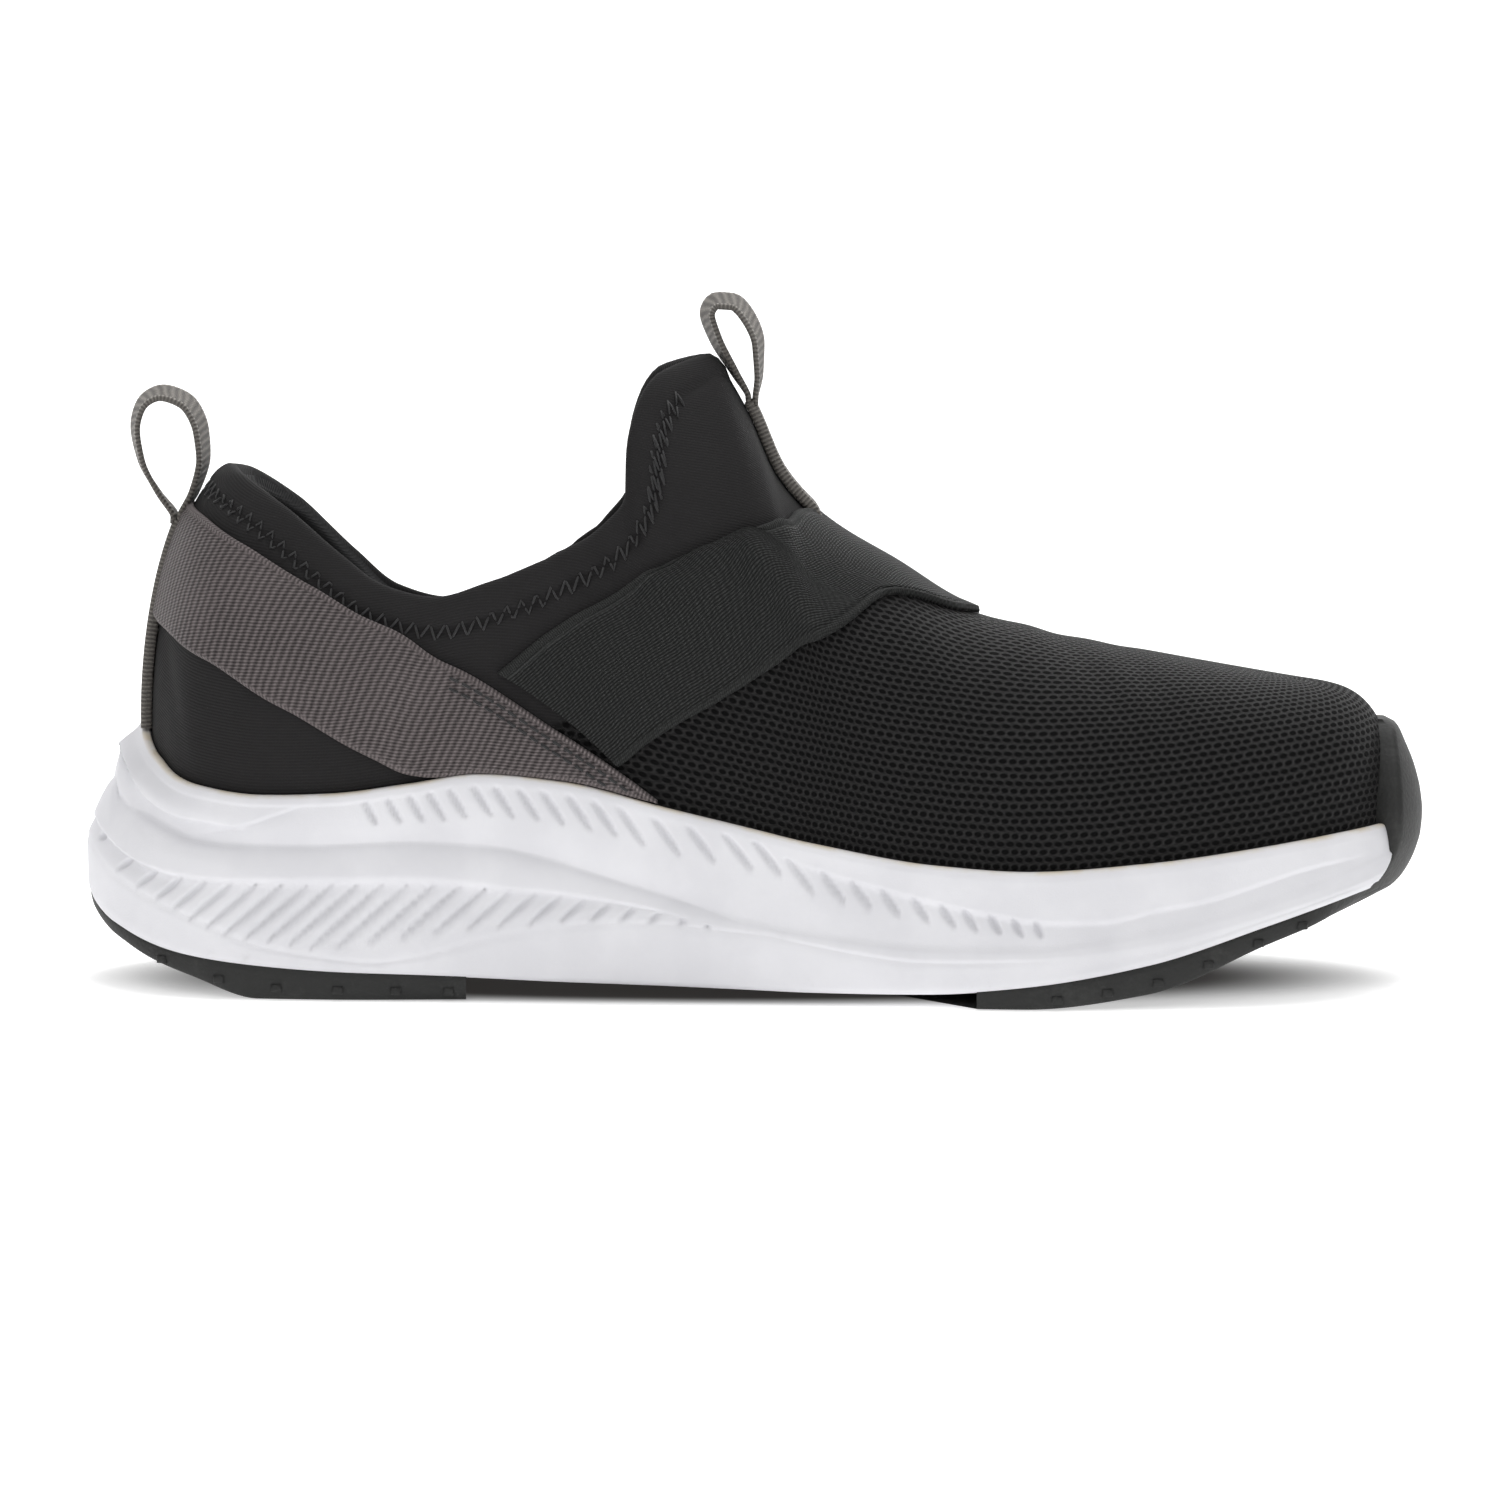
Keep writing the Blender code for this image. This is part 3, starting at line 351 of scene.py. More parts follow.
class Value:
    """A node socket whose operators add Math nodes to the same tree."""

    def __init__(self, tree: bpy.types.NodeTree, socket: bpy.types.NodeSocket) -> None:
        """Keep the tree and the socket."""
        self.tree = tree
        self.socket = socket

    def math(self, operation: str, *others: Value | float, flip: bool = False) -> Value:
        """Add one Math node.

        Args:
            operation: the node's operation.
            others: further inputs, as values or numbers.
            flip: put the first other before this value.

        Returns:
            The node's result.
        """
        node = self.tree.nodes.new("ShaderNodeMath")
        node.operation = operation
        inputs = [self, *others]
        if flip:
            inputs = [others[0], self]
        for slot, item in zip(node.inputs, inputs):
            if isinstance(item, Value):
                self.tree.links.new(item.socket, slot)
            else:
                slot.default_value = float(item)
        return Value(self.tree, node.outputs[0])

    def __add__(self, other: Value | float) -> Value:
        """Sum."""
        return self.math("ADD", other)

    __radd__ = __add__

    def __sub__(self, other: Value | float) -> Value:
        """Difference."""
        return self.math("SUBTRACT", other)

    def __rsub__(self, other: float) -> Value:
        """Difference from a number."""
        return self.math("SUBTRACT", other, flip=True)

    def __mul__(self, other: Value | float) -> Value:
        """Product."""
        return self.math("MULTIPLY", other)

    __rmul__ = __mul__

    def __truediv__(self, other: Value | float) -> Value:
        """Quotient."""
        return self.math("DIVIDE", other)

    def wave(self) -> Value:
        """Cosine of the value in turns, from 0 to 1."""
        return (self * (2 * math.pi)).math("COSINE") * 0.5 + 0.5

    def ease(self, low: float, high: float) -> Value:
        """Smooth step from 0 at low to 1 at high."""
        node = self.tree.nodes.new("ShaderNodeMapRange")
        node.interpolation_type = "SMOOTHSTEP"
        node.inputs["From Min"].default_value = low
        node.inputs["From Max"].default_value = high
        self.tree.links.new(self.socket, node.inputs["Value"])
        return Value(self.tree, node.outputs[0])


class Dye:
    """One material being built: its tree, its Principled shader and ways to add nodes."""

    def __init__(self, name: str) -> None:
        """Start a material with a bare Principled shader."""
        self.material = bpy.data.materials.new(name)
        self.material.use_nodes = True
        self.tree = self.material.node_tree
        self.shader = self.tree.nodes["Principled BSDF"]

    def node(self, kind: str, settings: dict | None = None, output: int | str = 0,
             **inputs: object) -> Value:
        """Add any node.

        Args:
            kind: the node's type.
            settings: properties that are set first.
            output: the output that is returned.
            inputs: values or links of the sockets, spaces in their names as underscores,
                or i and the socket's number.

        Returns:
            The chosen output.
        """
        node = self.tree.nodes.new(kind)
        for key, item in (settings or {}).items():
            setattr(node, key, item)
        for key, item in inputs.items():
            numbered = key[0] == "i" and key[1:].isdigit()
            slot = node.inputs[int(key[1:]) if numbered else key.replace("_", " ")]
            if isinstance(item, Value):
                self.tree.links.new(item.socket, slot)
            else:
                slot.default_value = item
        return Value(self.tree, node.outputs[output])

    def attribute(self, name: str) -> Value:
        """A number stored on the mesh's points."""
        return self.node("ShaderNodeAttribute", {"attribute_name": name}, "Fac")

    def cloth(self) -> tuple[Value, Value, Value]:
        """The surface's own measures in mm, along and up, and the vector that holds them."""
        vector = self.node("ShaderNodeAttribute", {"attribute_name": "cloth"}, "Vector")
        split = self.node("ShaderNodeSeparateXYZ", Vector=vector)
        second = Value(self.tree, split.socket.node.outputs[1])
        return split, second, vector

    def place(self) -> Value:
        """Object coordinates, in metres."""
        return self.node("ShaderNodeTexCoord", output="Object")

    def noise(self, vector: Value, scale: float, detail: float = 3.0, rough: float = 0.5) -> Value:
        """Smooth noise from 0 to 1."""
        return self.node("ShaderNodeTexNoise", Vector=vector, Scale=scale, Detail=detail,
                         Roughness=rough)

    def mix(self, factor: Value | float, low: object, high: object) -> Value:
        """A colour between two colours."""
        def full(item: object) -> object:
            return item if isinstance(item, Value) else (*item, 1.0)
        return self.node("ShaderNodeMix", {"data_type": "RGBA"}, 2, i0=factor, i6=full(low),
                         i7=full(high))

    def relief(self, height: Value, depth: float) -> Value:
        """A normal from a height of 0 to 1 that stands for a depth in mm."""
        return self.node("ShaderNodeBump", Strength=1.0, Distance=depth * MM, Height=height)

    def dress(self, color: Value, roughness: Value | float, normal: Value | None = None,
              **constants: float) -> bpy.types.Material:
        """Link what varies and set what doesn't.

        Args:
            color: base colour.
            roughness: roughness.
            normal: normal, if the surface has relief.
            constants: other numbers of the shader, spaces in their names as underscores.

        Returns:
            The finished material.
        """
        self.tree.links.new(color.socket, self.shader.inputs["Base Color"])
        if isinstance(roughness, Value):
            self.tree.links.new(roughness.socket, self.shader.inputs["Roughness"])
        else:
            self.shader.inputs["Roughness"].default_value = roughness
        if normal:
            self.tree.links.new(normal.socket, self.shader.inputs["Normal"])
        for key, item in constants.items():
            self.shader.inputs[key.replace("_", " ")].default_value = item
        return self.material


@dataclass(frozen=True)
class SockCloth:
    """Black cloth of the sock: smooth fine knit, and open mesh over the vamp."""

    knit: Color = (0.0140, 0.0134, 0.0137)
    knit_light: Color = (0.0260, 0.0250, 0.0254)
    yarn: Color = (0.0370, 0.0360, 0.0360)
    hole: Color = (0.0008, 0.0008, 0.0009)
    lint: Color = (0.0700, 0.0700, 0.0720)
    cell_along: float = 2.05
    cell_up: float = 1.50
    course: float = 0.62

    def build(self) -> bpy.types.Material:
        """Make the material."""
        dye = Dye("sock_cloth")
        along, up, vector = dye.cloth()
        wander = dye.noise(vector, 0.16, 2.0) - 0.5
        x = along / self.cell_along + wander * 0.5
        y = up / self.cell_up + wander * 0.5
        row = y.math("FLOOR")
        x = x + row.math("PINGPONG", 1.0) * 0.5
        fx = x.math("FRACT") - 0.5
        fy = y.math("FRACT") - 0.5
        far = (fx * fx * 1.1 + fy * fy * 1.5).math("SQRT")
        yarn = far.ease(0.30, 0.54)
        twist = ((along + up) / 0.42).wave()
        # Painted highlight: bright arcs across each mesh cell on the yarn, also fed into its relief; strand
        # is the yarn's brightness from its shape, twist and this painted highlight
        painted_highlight_arc = (x - y * 0.5 + 0.25).wave()
        strand = yarn * (0.25 + twist * 0.30 + painted_highlight_arc * 0.45)
        open_color = dye.mix(strand, self.hole, self.yarn)

        fuzz = dye.noise(vector, 2.4, 4.0)
        soft = dye.noise(vector, 0.07, 3.0)
        course = (up / self.course + (along / 0.55).wave() * 0.12).wave()
        shade = course * 0.35 + soft * 0.4 + (fuzz - 0.5) * 0.5
        knit_color = dye.mix(shade, self.knit, self.knit_light)
        lint = dye.noise(vector, 1.7, 1.0).ease(0.80, 0.86)
        knit_color = dye.mix(lint * 0.5, knit_color, self.lint)

        mesh = dye.attribute("mesh")
        color = dye.mix(mesh, knit_color, open_color)
        height = strand * mesh + (1 - mesh) * (course * 0.10 + fuzz * 0.10 + 0.4)
        normal = dye.relief(height, 0.55)
        rough = 0.80 + mesh * (0.10 - yarn * 0.40)
        return dye.dress(color, rough, normal, Sheen_Weight=0.03, Sheen_Roughness=0.45,
                         Specular_IOR_Level=0.14)


@dataclass(frozen=True)
class Elastic:
    """Black ribbed elastic with a plain woven selvedge."""

    dark: Color = (0.0030, 0.0034, 0.0031)
    light: Color = (0.0480, 0.0495, 0.0480)
    rib: float = 0.62
    pick: float = 1.15

    def build(self) -> bpy.types.Material:
        """Make the material."""
        dye = Dye("ribbed_elastic")
        along, across, vector = dye.cloth()
        edge = dye.attribute("edge")
        wander = (dye.noise(vector, 0.55, 3.0) - 0.5) * 0.8
        rib = (across / self.rib + along * 0.06 + wander * 0.9).wave()
        pick = (along / self.pick + across * 0.45 + wander * 1.4).wave()
        weave = rib * (0.45 + pick * 0.55)
        plain = (along / 0.45 + across / 0.9).wave() * 0.5 + 0.2
        body = weave * (1 - edge) + plain * edge
        speck = dye.noise(vector, 1.9, 3.0)
        shade = body * 0.85 + (speck - 0.5) * 0.5 + dye.attribute("seam") * 0.55
        color = dye.mix(shade, self.dark, self.light)
        normal = dye.relief(body + speck * 0.3, 0.26)
        return dye.dress(color, 0.72 - body * 0.20, normal, Sheen_Weight=0.03, Sheen_Roughness=0.5,
                         Specular_IOR_Level=0.18)


@dataclass(frozen=True)
class Webbing:
    """Warm grey webbing: cross ribs made of fine slanted dashes, with a chain at its edge, and painted shade
    on the narrow sides of the pull loops and their tapes.
    """

    name: str = "grey_webbing"
    dark: Color = (0.0200, 0.0165, 0.0165)
    light: Color = (0.2600, 0.2220, 0.2220)
    rib: float = 1.50
    dash: float = 0.66

    def build(self) -> bpy.types.Material:
        """Make the material."""
        dye = Dye(self.name)
        along, across, vector = dye.cloth()
        edge = dye.attribute("edge")
        wander = (dye.noise(vector, 0.35, 3.0) - 0.5)
        rib = (along / self.rib + across * 0.10 + wander * 0.45).wave()
        dash = (across / self.dash + along * 0.75 + wander * 0.5).wave()
        body = (rib * 0.35 + dash * 0.65) * (0.55 + rib * 0.45)
        chain = (along / 0.85).wave() * (0.6 + (across / 0.6).wave() * 0.4)
        weave = body * (1 - edge) + chain * edge
        wear = dye.noise(vector, 0.05, 4.0)
        grain = dye.noise(vector, 2.2, 3.0)
        shade = weave * 0.72 + (wear - 0.5) * 0.25 + (grain - 0.5) * 0.35 + edge * 0.18
        # Painted shade: the narrow sides, marked by rim, are darkened
        shade = shade * (1 - dye.attribute("rim") * 0.6)
        color = dye.mix(shade, self.dark, self.light)
        normal = dye.relief(weave + grain * 0.25, 0.30)
        return dye.dress(color, 0.62 - weave * 0.14, normal, Sheen_Weight=0.06, Sheen_Roughness=0.5,
                         Specular_IOR_Level=0.22)


@dataclass(frozen=True)
class Foam:
    """White moulded foam: satin, with faint pores, mottling, a warm line of glue on top and painted shade in
    its slits.
    """

    white: Color = (0.770, 0.768, 0.795)
    cool: Color = (0.715, 0.713, 0.742)
    glue: Color = (0.640, 0.560, 0.430)
    # shaded is the colour of the painted shade inside the slits
    shaded: Color = (0.520, 0.520, 0.550)
    dirt: Color = (0.420, 0.410, 0.400)

    def build(self) -> bpy.types.Material:
        """Make the material."""
        dye = Dye("white_foam")
        place = dye.place()
        mottle = dye.noise(place, 60.0, 4.0)
        pores = dye.noise(place, 2600.0, 2.0)
        grain = dye.noise(place, 900.0, 3.0)
        color = dye.mix(mottle.ease(0.35, 0.68), self.cool, self.white)
        # Painted shade: the slits, marked by groove, are darkened towards the shaded colour
        groove = dye.attribute("groove")
        color = dye.mix(groove * 0.35, color, self.shaded)
        rub = dye.noise(place, 140.0, 5.0, 0.65).ease(0.62, 0.78) * dye.attribute("low")
        color = dye.mix(rub * 0.25, color, self.dirt)
        smear = dye.noise(place, 210.0, 3.0).ease(0.35, 0.65)
        color = dye.mix(dye.attribute("glue") * (0.25 + smear * 0.6), color, self.glue)
        normal = dye.relief(pores * 0.6 + grain * 0.4, 0.05)
        return dye.dress(color, 0.50 + mottle * 0.12, normal, Specular_IOR_Level=0.42)


@dataclass(frozen=True)
class Rubber:
    """Black moulded rubber with a fine grain, paler where it is scuffed."""

    black: Color = (0.0160, 0.0164, 0.0158)
    worn: Color = (0.0520, 0.0520, 0.0500)

    def build(self) -> bpy.types.Material:
        """Make the material."""
        dye = Dye("black_rubber")
        place = dye.place()
        grain = dye.noise(place, 1900.0, 3.0)
        cells = dye.node("ShaderNodeTexVoronoi", None, "Distance", Vector=place, Scale=1100.0)
        scuff = dye.noise(place, 90.0, 6.0, 0.7).ease(0.50, 0.74)
        color = dye.mix(scuff * 0.55 + grain * 0.25, self.black, self.worn)
        normal = dye.relief(grain * 0.6 + cells * 0.6, 0.10)
        return dye.dress(color, 0.48 + grain * 0.22, normal, Specular_IOR_Level=0.32)


@dataclass(frozen=True)
class Lining:
    """Black brushed cloth on the foot's side and on the insole."""

    dark: Color = (0.0100, 0.0100, 0.0105)
    light: Color = (0.0230, 0.0230, 0.0240)

    def build(self) -> bpy.types.Material:
        """Make the material."""
        dye = Dye("black_lining")
        along, up, vector = dye.cloth()
        nap = dye.noise(vector, 1.6, 4.0, 0.6)
        weave = ((along / 0.8).wave() + (up / 0.8).wave()) * 0.5
        color = dye.mix(nap * 0.7 + weave * 0.3, self.dark, self.light)
        return dye.dress(color, 0.88, dye.relief(weave * 0.5 + nap * 0.5, 0.20), Sheen_Weight=0.2,
                         Specular_IOR_Level=0.25)


@dataclass(frozen=True)
class Thread:
    """Sewing thread, twisted and a little glossy."""

    name: str
    color: Color
    lighter: Color

    def build(self) -> bpy.types.Material:
        """Make the material."""
        dye = Dye(self.name)
        place = dye.place()
        strand = dye.noise(place, 2400.0, 2.0)
        color = dye.mix(strand, self.color, self.lighter)
        return dye.dress(color, 0.55, dye.relief(strand, 0.08), Sheen_Weight=0.1)


@dataclass(frozen=True)
class FloorPaper:
    """Plain pale paper that glows a little, with a painted shadow where the sole would shut the light out.
    """

    white: Color = (0.93, 0.93, 0.93)
    # shade is the painted shadow's colour; reach is its half-length and half-width in metres
    shade: Color = (0.05, 0.047, 0.045)
    reach: Pair = (0.128, 0.041)

    def build(self) -> bpy.types.Material:
        """Make the material."""
        dye = Dye("floor_paper")
        place = dye.place()
        # Painted shadow: an ellipse under the sole where colour and glow fall to the shade colour
        x = dye.node("ShaderNodeSeparateXYZ", output="X", Vector=place) / self.reach[0]
        y = dye.node("ShaderNodeSeparateXYZ", output="Y", Vector=place) / self.reach[1]
        outside_painted_shadow = (x * x + y * y).math("SQRT").ease(0.70, 1.12)
        color = dye.mix(outside_painted_shadow, self.shade, self.white)
        glow_with_painted_shadow = dye.mix(outside_painted_shadow, self.shade, (1.0, 1.0, 1.0))
        dye.tree.links.new(glow_with_painted_shadow.socket, dye.shader.inputs["Emission Color"])
        return dye.dress(color, 0.85, None, Specular_IOR_Level=0.1, Emission_Strength=0.52)


def weave_grid(name: str, grid: np.ndarray, marks: dict[str, np.ndarray] | None = None,
               closed: bool = False) -> bpy.types.Object:
    """A smooth mesh over a grid of points.

    Args:
        name: the object's name.
        grid: rows by columns of points in mm.
        marks: numbers or vectors stored on the points, in the grid's shape.
        closed: join the last row to the first.

    Returns:
        The object.
    """
    rows, columns = grid.shape[:2]
    index = np.arange(rows * columns).reshape(rows, columns)
    ahead = np.roll(index, -1, axis=0) if closed else index[1:]
    here = index if closed else index[:-1]
    faces = np.stack([here[:, :-1], here[:, 1:], ahead[:, 1:], ahead[:, :-1]], axis=-1)
    return solid(name, grid.reshape(-1, 3), faces.reshape(-1, 4), marks)


def solid(name: str, points: np.ndarray, faces: np.ndarray,
          marks: dict[str, np.ndarray] | None = None) -> bpy.types.Object:
    """A smooth mesh from points in mm and faces of four, with numbers stored on its points."""
    mesh = bpy.data.meshes.new(name)
    mesh.from_pydata(points * MM, [], faces.tolist())
    for key, item in (marks or {}).items():
        flat = np.asarray(item, float).reshape(len(points), -1)
        kind, path = ("FLOAT_VECTOR", "vector") if flat.shape[1] == 3 else ("FLOAT", "value")
        mesh.attributes.new(key, kind, "POINT").data.foreach_set(path, flat.ravel())
    mesh.shade_smooth()
    thing = bpy.data.objects.new(name, mesh)
    bpy.context.scene.collection.objects.link(thing)
    return thing


def place_piece(thing: bpy.types.Object, material: bpy.types.Material, slot: Slot,
                *stands_for: str) -> None:
    """Give a piece its material and body, and hide the solids that it stands for."""
    thing.data.materials.clear()
    thing.data.materials.append(material)
    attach(thing, "root")
    if stands_for:
        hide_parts(*stands_for)
    LOG.info("%s: %d faces", thing.name, len(thing.data.polygons))


def measures(grid: np.ndarray) -> np.ndarray:
    """Distances in mm over a grid, along its rows and up its columns, as vectors."""
    middle = grid[:, grid.shape[1] // 3]
    along = np.broadcast_to(run_lengths(middle)[:, None], grid.shape[:2])
    steps = np.linalg.norm(np.diff(grid, axis=1), axis=2)
    up = np.concatenate([np.zeros((len(grid), 1)), np.cumsum(steps, axis=1)], axis=1)
    return np.stack([along, up, np.zeros_like(up)], axis=-1)


def thread_run(name: str, path: np.ndarray, lift: np.ndarray, stitch: float, gap: float,
               radius: float) -> bpy.types.Object:
    """A row of stitches along a path, as one mesh of short rounded threads.

    Args:
        name: the object's name.
        path: points in mm that the stitches follow.
        lift: outward directions at the points.
        stitch: length of a stitch.
        gap: length between stitches.
        radius: the thread's radius.

    Returns:
        The joined mesh.
    """
    covered = run_lengths(path)
    starts = np.arange(0.0, covered[-1] - stitch, stitch + gap)
    shares = np.array([0.0, 0.12, 0.5, 0.88, 1.0])
    swell = np.array([0.35, 0.9, 1.0, 0.9, 0.35])
    rise = np.array([-0.8, 0.1, 0.5, 0.1, -0.8]) * radius
    at = starts[:, None] + shares * stitch
    spot = np.stack([np.interp(at, covered, path[:, c]) for c in range(3)], axis=-1)
    up = unit(np.stack([np.interp(at, covered, lift[:, c]) for c in range(3)], axis=-1))
    run = unit(np.gradient(spot, axis=1))
    side = np.cross(run, up)
    turn = np.linspace(0, 2 * math.pi, 6, endpoint=False)
    around = (side[:, :, None] * np.cos(turn)[:, None] + up[:, :, None] * np.sin(turn)[:, None])
    points = (spot[:, :, None] + up[:, :, None] * rise[:, None, None]
              + around * (swell * radius)[:, None, None])
    index = np.arange(points[..., 0].size).reshape(points.shape[:3])
    ahead = np.roll(index, -1, axis=2)
    faces = np.stack([index[:, :-1], ahead[:, :-1], ahead[:, 1:], index[:, 1:]], axis=-1)
    return solid(name, points.reshape(-1, 3), faces.reshape(-1, 4))


# Side-view lines on the upper, as (along, height); BAND_FRONT is in plan
MESH_EDGE = ((-60.0, 38.0), (-38.0, 55.0), (-20.0, 66.0), (0.0, 77.0), (20.0, 85.0), (34.0, 86.0))
BAND_TOP = ((-50.3, 64.9), (-40.2, 72.9), (-32.5, 77.5), (-24.6, 82.0), (-16.9, 86.2), (-9.2, 89.8),
            (-1.5, 92.4), (6.0, 94.2))
BAND_FRONT = ((27.2, -18.4), (33.5, -13.6), (40.4, -7.8))
BAND_FOOT = ((-26.4, 46.2), (-20.0, 51.2), (-13.9, 55.1), (-5.4, 60.0), (3.1, 65.4), (12.5, 71.1),
             (20.4, 75.2))
STRAP_TOP = ((-112.3, 96.7), (-100.0, 89.4), (-86.4, 81.5), (-71.6, 73.8), (-60.0, 66.7), (-38.8, 53.6),
             (-18.5, 39.6))
STRAP_FOOT = ((-119.0, 73.6), (-109.0, 67.2), (-92.3, 57.6), (-75.4, 48.2), (-68.0, 44.8))
STRAP_SOLE = (3.75, 4.05, 4.4, 4.75, 5.0)  # stations where the strap runs into the foam


@dataclass
class Sock:
    """The upper: mesh vamp, knit quarters and tongue, padded cuff, lining and cuff stitches."""

    wall: float = 2.2
    pad: float = 5.0
    cuff: float = 7.6
    zigzag: Pair = (6.4, 9.6)
    zigzag_pitch: float = 1.6
    stations: int = 520
    steps: int = 84

    def rim_distance(self, points: np.ndarray) -> np.ndarray:
        """Distance of each point from the collar's edge."""
        reach = FORM.tongue_station
        t = np.linspace(-reach, reach, 3200)
        edge = FORM.rim(np.mod(t, 2 * ROWS))
        flat = points.reshape(-1, 3)
        near = np.array([np.min(np.linalg.norm(edge - p, axis=1)) for p in flat])
        return np.maximum(near.reshape(points.shape[:-1]) - 0.06, 0.0)

    def creases(self, points: np.ndarray) -> np.ndarray:
        """Soft troughs and ridges: gathers under the collar and folds over the toe joint."""
        x, y, z = points[..., 0], points[..., 1], points[..., 2]
        depth = np.zeros(x.shape)
        gathers = ((-44.0, 80.0, 0.9, 7.0, 0.5), (-36.0, 84.0, 0.8, 7.0, 0.6),
                   (-29.0, 87.0, 0.7, 6.0, 0.55), (-23.0, 92.0, 0.5, 6.0, 0.5),
                   (-116.0, 60.0, 0.2, 14.0, 0.35))
        for cx, cz, tilt, reach, deep in gathers:
            run = (x - cx) * math.sin(tilt) - (z - cz) * math.cos(tilt)
            off = (x - cx) * math.cos(tilt) + (z - cz) * math.sin(tilt)
            depth += deep * np.exp(-(off / 1.6) ** 2) * np.exp(-(run / reach) ** 2)
        for cx, bend, deep in ((62.0, 0.010, 0.30), (74.0, 0.008, 0.25), (56.0, -0.012, -0.25)):
            off = x - cx - bend * y * y
            depth += deep * np.exp(-(off / 4.0) ** 2) * ease((z - 40.0) / 18.0)
        return -depth

    def make(self) -> None:
        """Build the sock's pieces and dress them."""
        t, s = np.meshgrid(np.linspace(0, 2 * ROWS, self.stations + 1),
                           RIB_STEPS * np.linspace(0, 1, self.steps), indexing="ij")
        base = FORM.point(t, s)
        out = FORM.normal(t, s)
        near = self.rim_distance(base)
        thick = self.wall + (self.pad - self.wall) * ease((30.0 - near) / 22.0)
        half = thick / 2
        rounding = half - np.sqrt(np.maximum(half ** 2 - np.maximum(half - near, 0.0) ** 2, 0.0))
        swell = 0.35 * np.sin(np.clip(near / self.cuff, 0, 1) * math.pi)
        seam = -0.55 * np.exp(-((near - self.cuff - 0.4) / 0.7) ** 2)
        lift = swell + seam + self.creases(base) - rounding
        outer = base + out * lift[..., None]
        inner = base - out * (thick - rounding)[..., None]
        foot = outer[:, :1].copy()
        foot[..., 2] = FORM.side("bed", t[:, :1]) + 0.4
        foot_in = inner[:, :1].copy()
        foot_in[..., 2] = foot[..., 2]
        cloth = measures(base)
        mesh = ease((read_line(MESH_EDGE, base[..., 0]) - base[..., 2]) / 2.0 + 0.5)
        mesh = np.where(base[..., 0] > 30.0, 1.0, np.where(base[..., 0] < -58.0, 0.0, mesh))

        def wide(item: np.ndarray) -> np.ndarray:
            """Repeat the first column for the wall that stands in the foam."""
            return np.concatenate([item[:, :1], item], axis=1)
        skin = weave_grid("sock_outside", np.concatenate([foot, outer], axis=1),
                          {"cloth": wide(cloth), "mesh": wide(mesh)})
        place_piece(skin, SockCloth().build(), Slot.UPPER, "upper")
        lining = weave_grid("sock_lining", np.concatenate([inner[:, ::-1], foot_in], axis=1),
                            {"cloth": wide(cloth)[:, ::-1]})
        place_piece(lining, Lining().build(), Slot.UPPER)
        self.sew(t, s, near)

    def sew(self, t: np.ndarray, s: np.ndarray, near: np.ndarray) -> None:
        """Zigzag stitches along the cuff's lower edge, on both sides."""
        places = []
        for column in range(t.shape[0]):
            folded = float(FORM.fold(t[column, 0]))
            if folded > FORM.tongue_station - 0.1:
                continue
            top = near[column, ::-1]
            far = np.maximum.accumulate(top)
            places.append((t[column, 0], *np.interp(self.zigzag, far, s[column, ::-1])))
        lines = np.array(places)
        for side in Side:
            rows = lines[(lines[:, 0] > ROWS) == (side is Side.LATERAL)]
            middle = FORM.point(rows[:, 0], (rows[:, 1] + rows[:, 2]) / 2)
            covered = run_lengths(middle)
            count = int(covered[-1] / self.zigzag_pitch)
            at = np.linspace(2.0, covered[-1] - 1.0, count)
            station = np.interp(at, covered, rows[:, 0])
            high, low = np.interp(at, covered, rows[:, 1]), np.interp(at, covered, rows[:, 2])
            step = np.where(np.arange(count) % 2 == 0, high, low)
            path = FORM.lay(station, step, 0.12)
            lift = FORM.normal(station, step)
            pieces = thread_run(f"cuff_stitches_{side.value}", path, lift, 3.3, 0.3, 0.24)
            place_piece(pieces, BLACK_THREAD, Slot.UPPER)


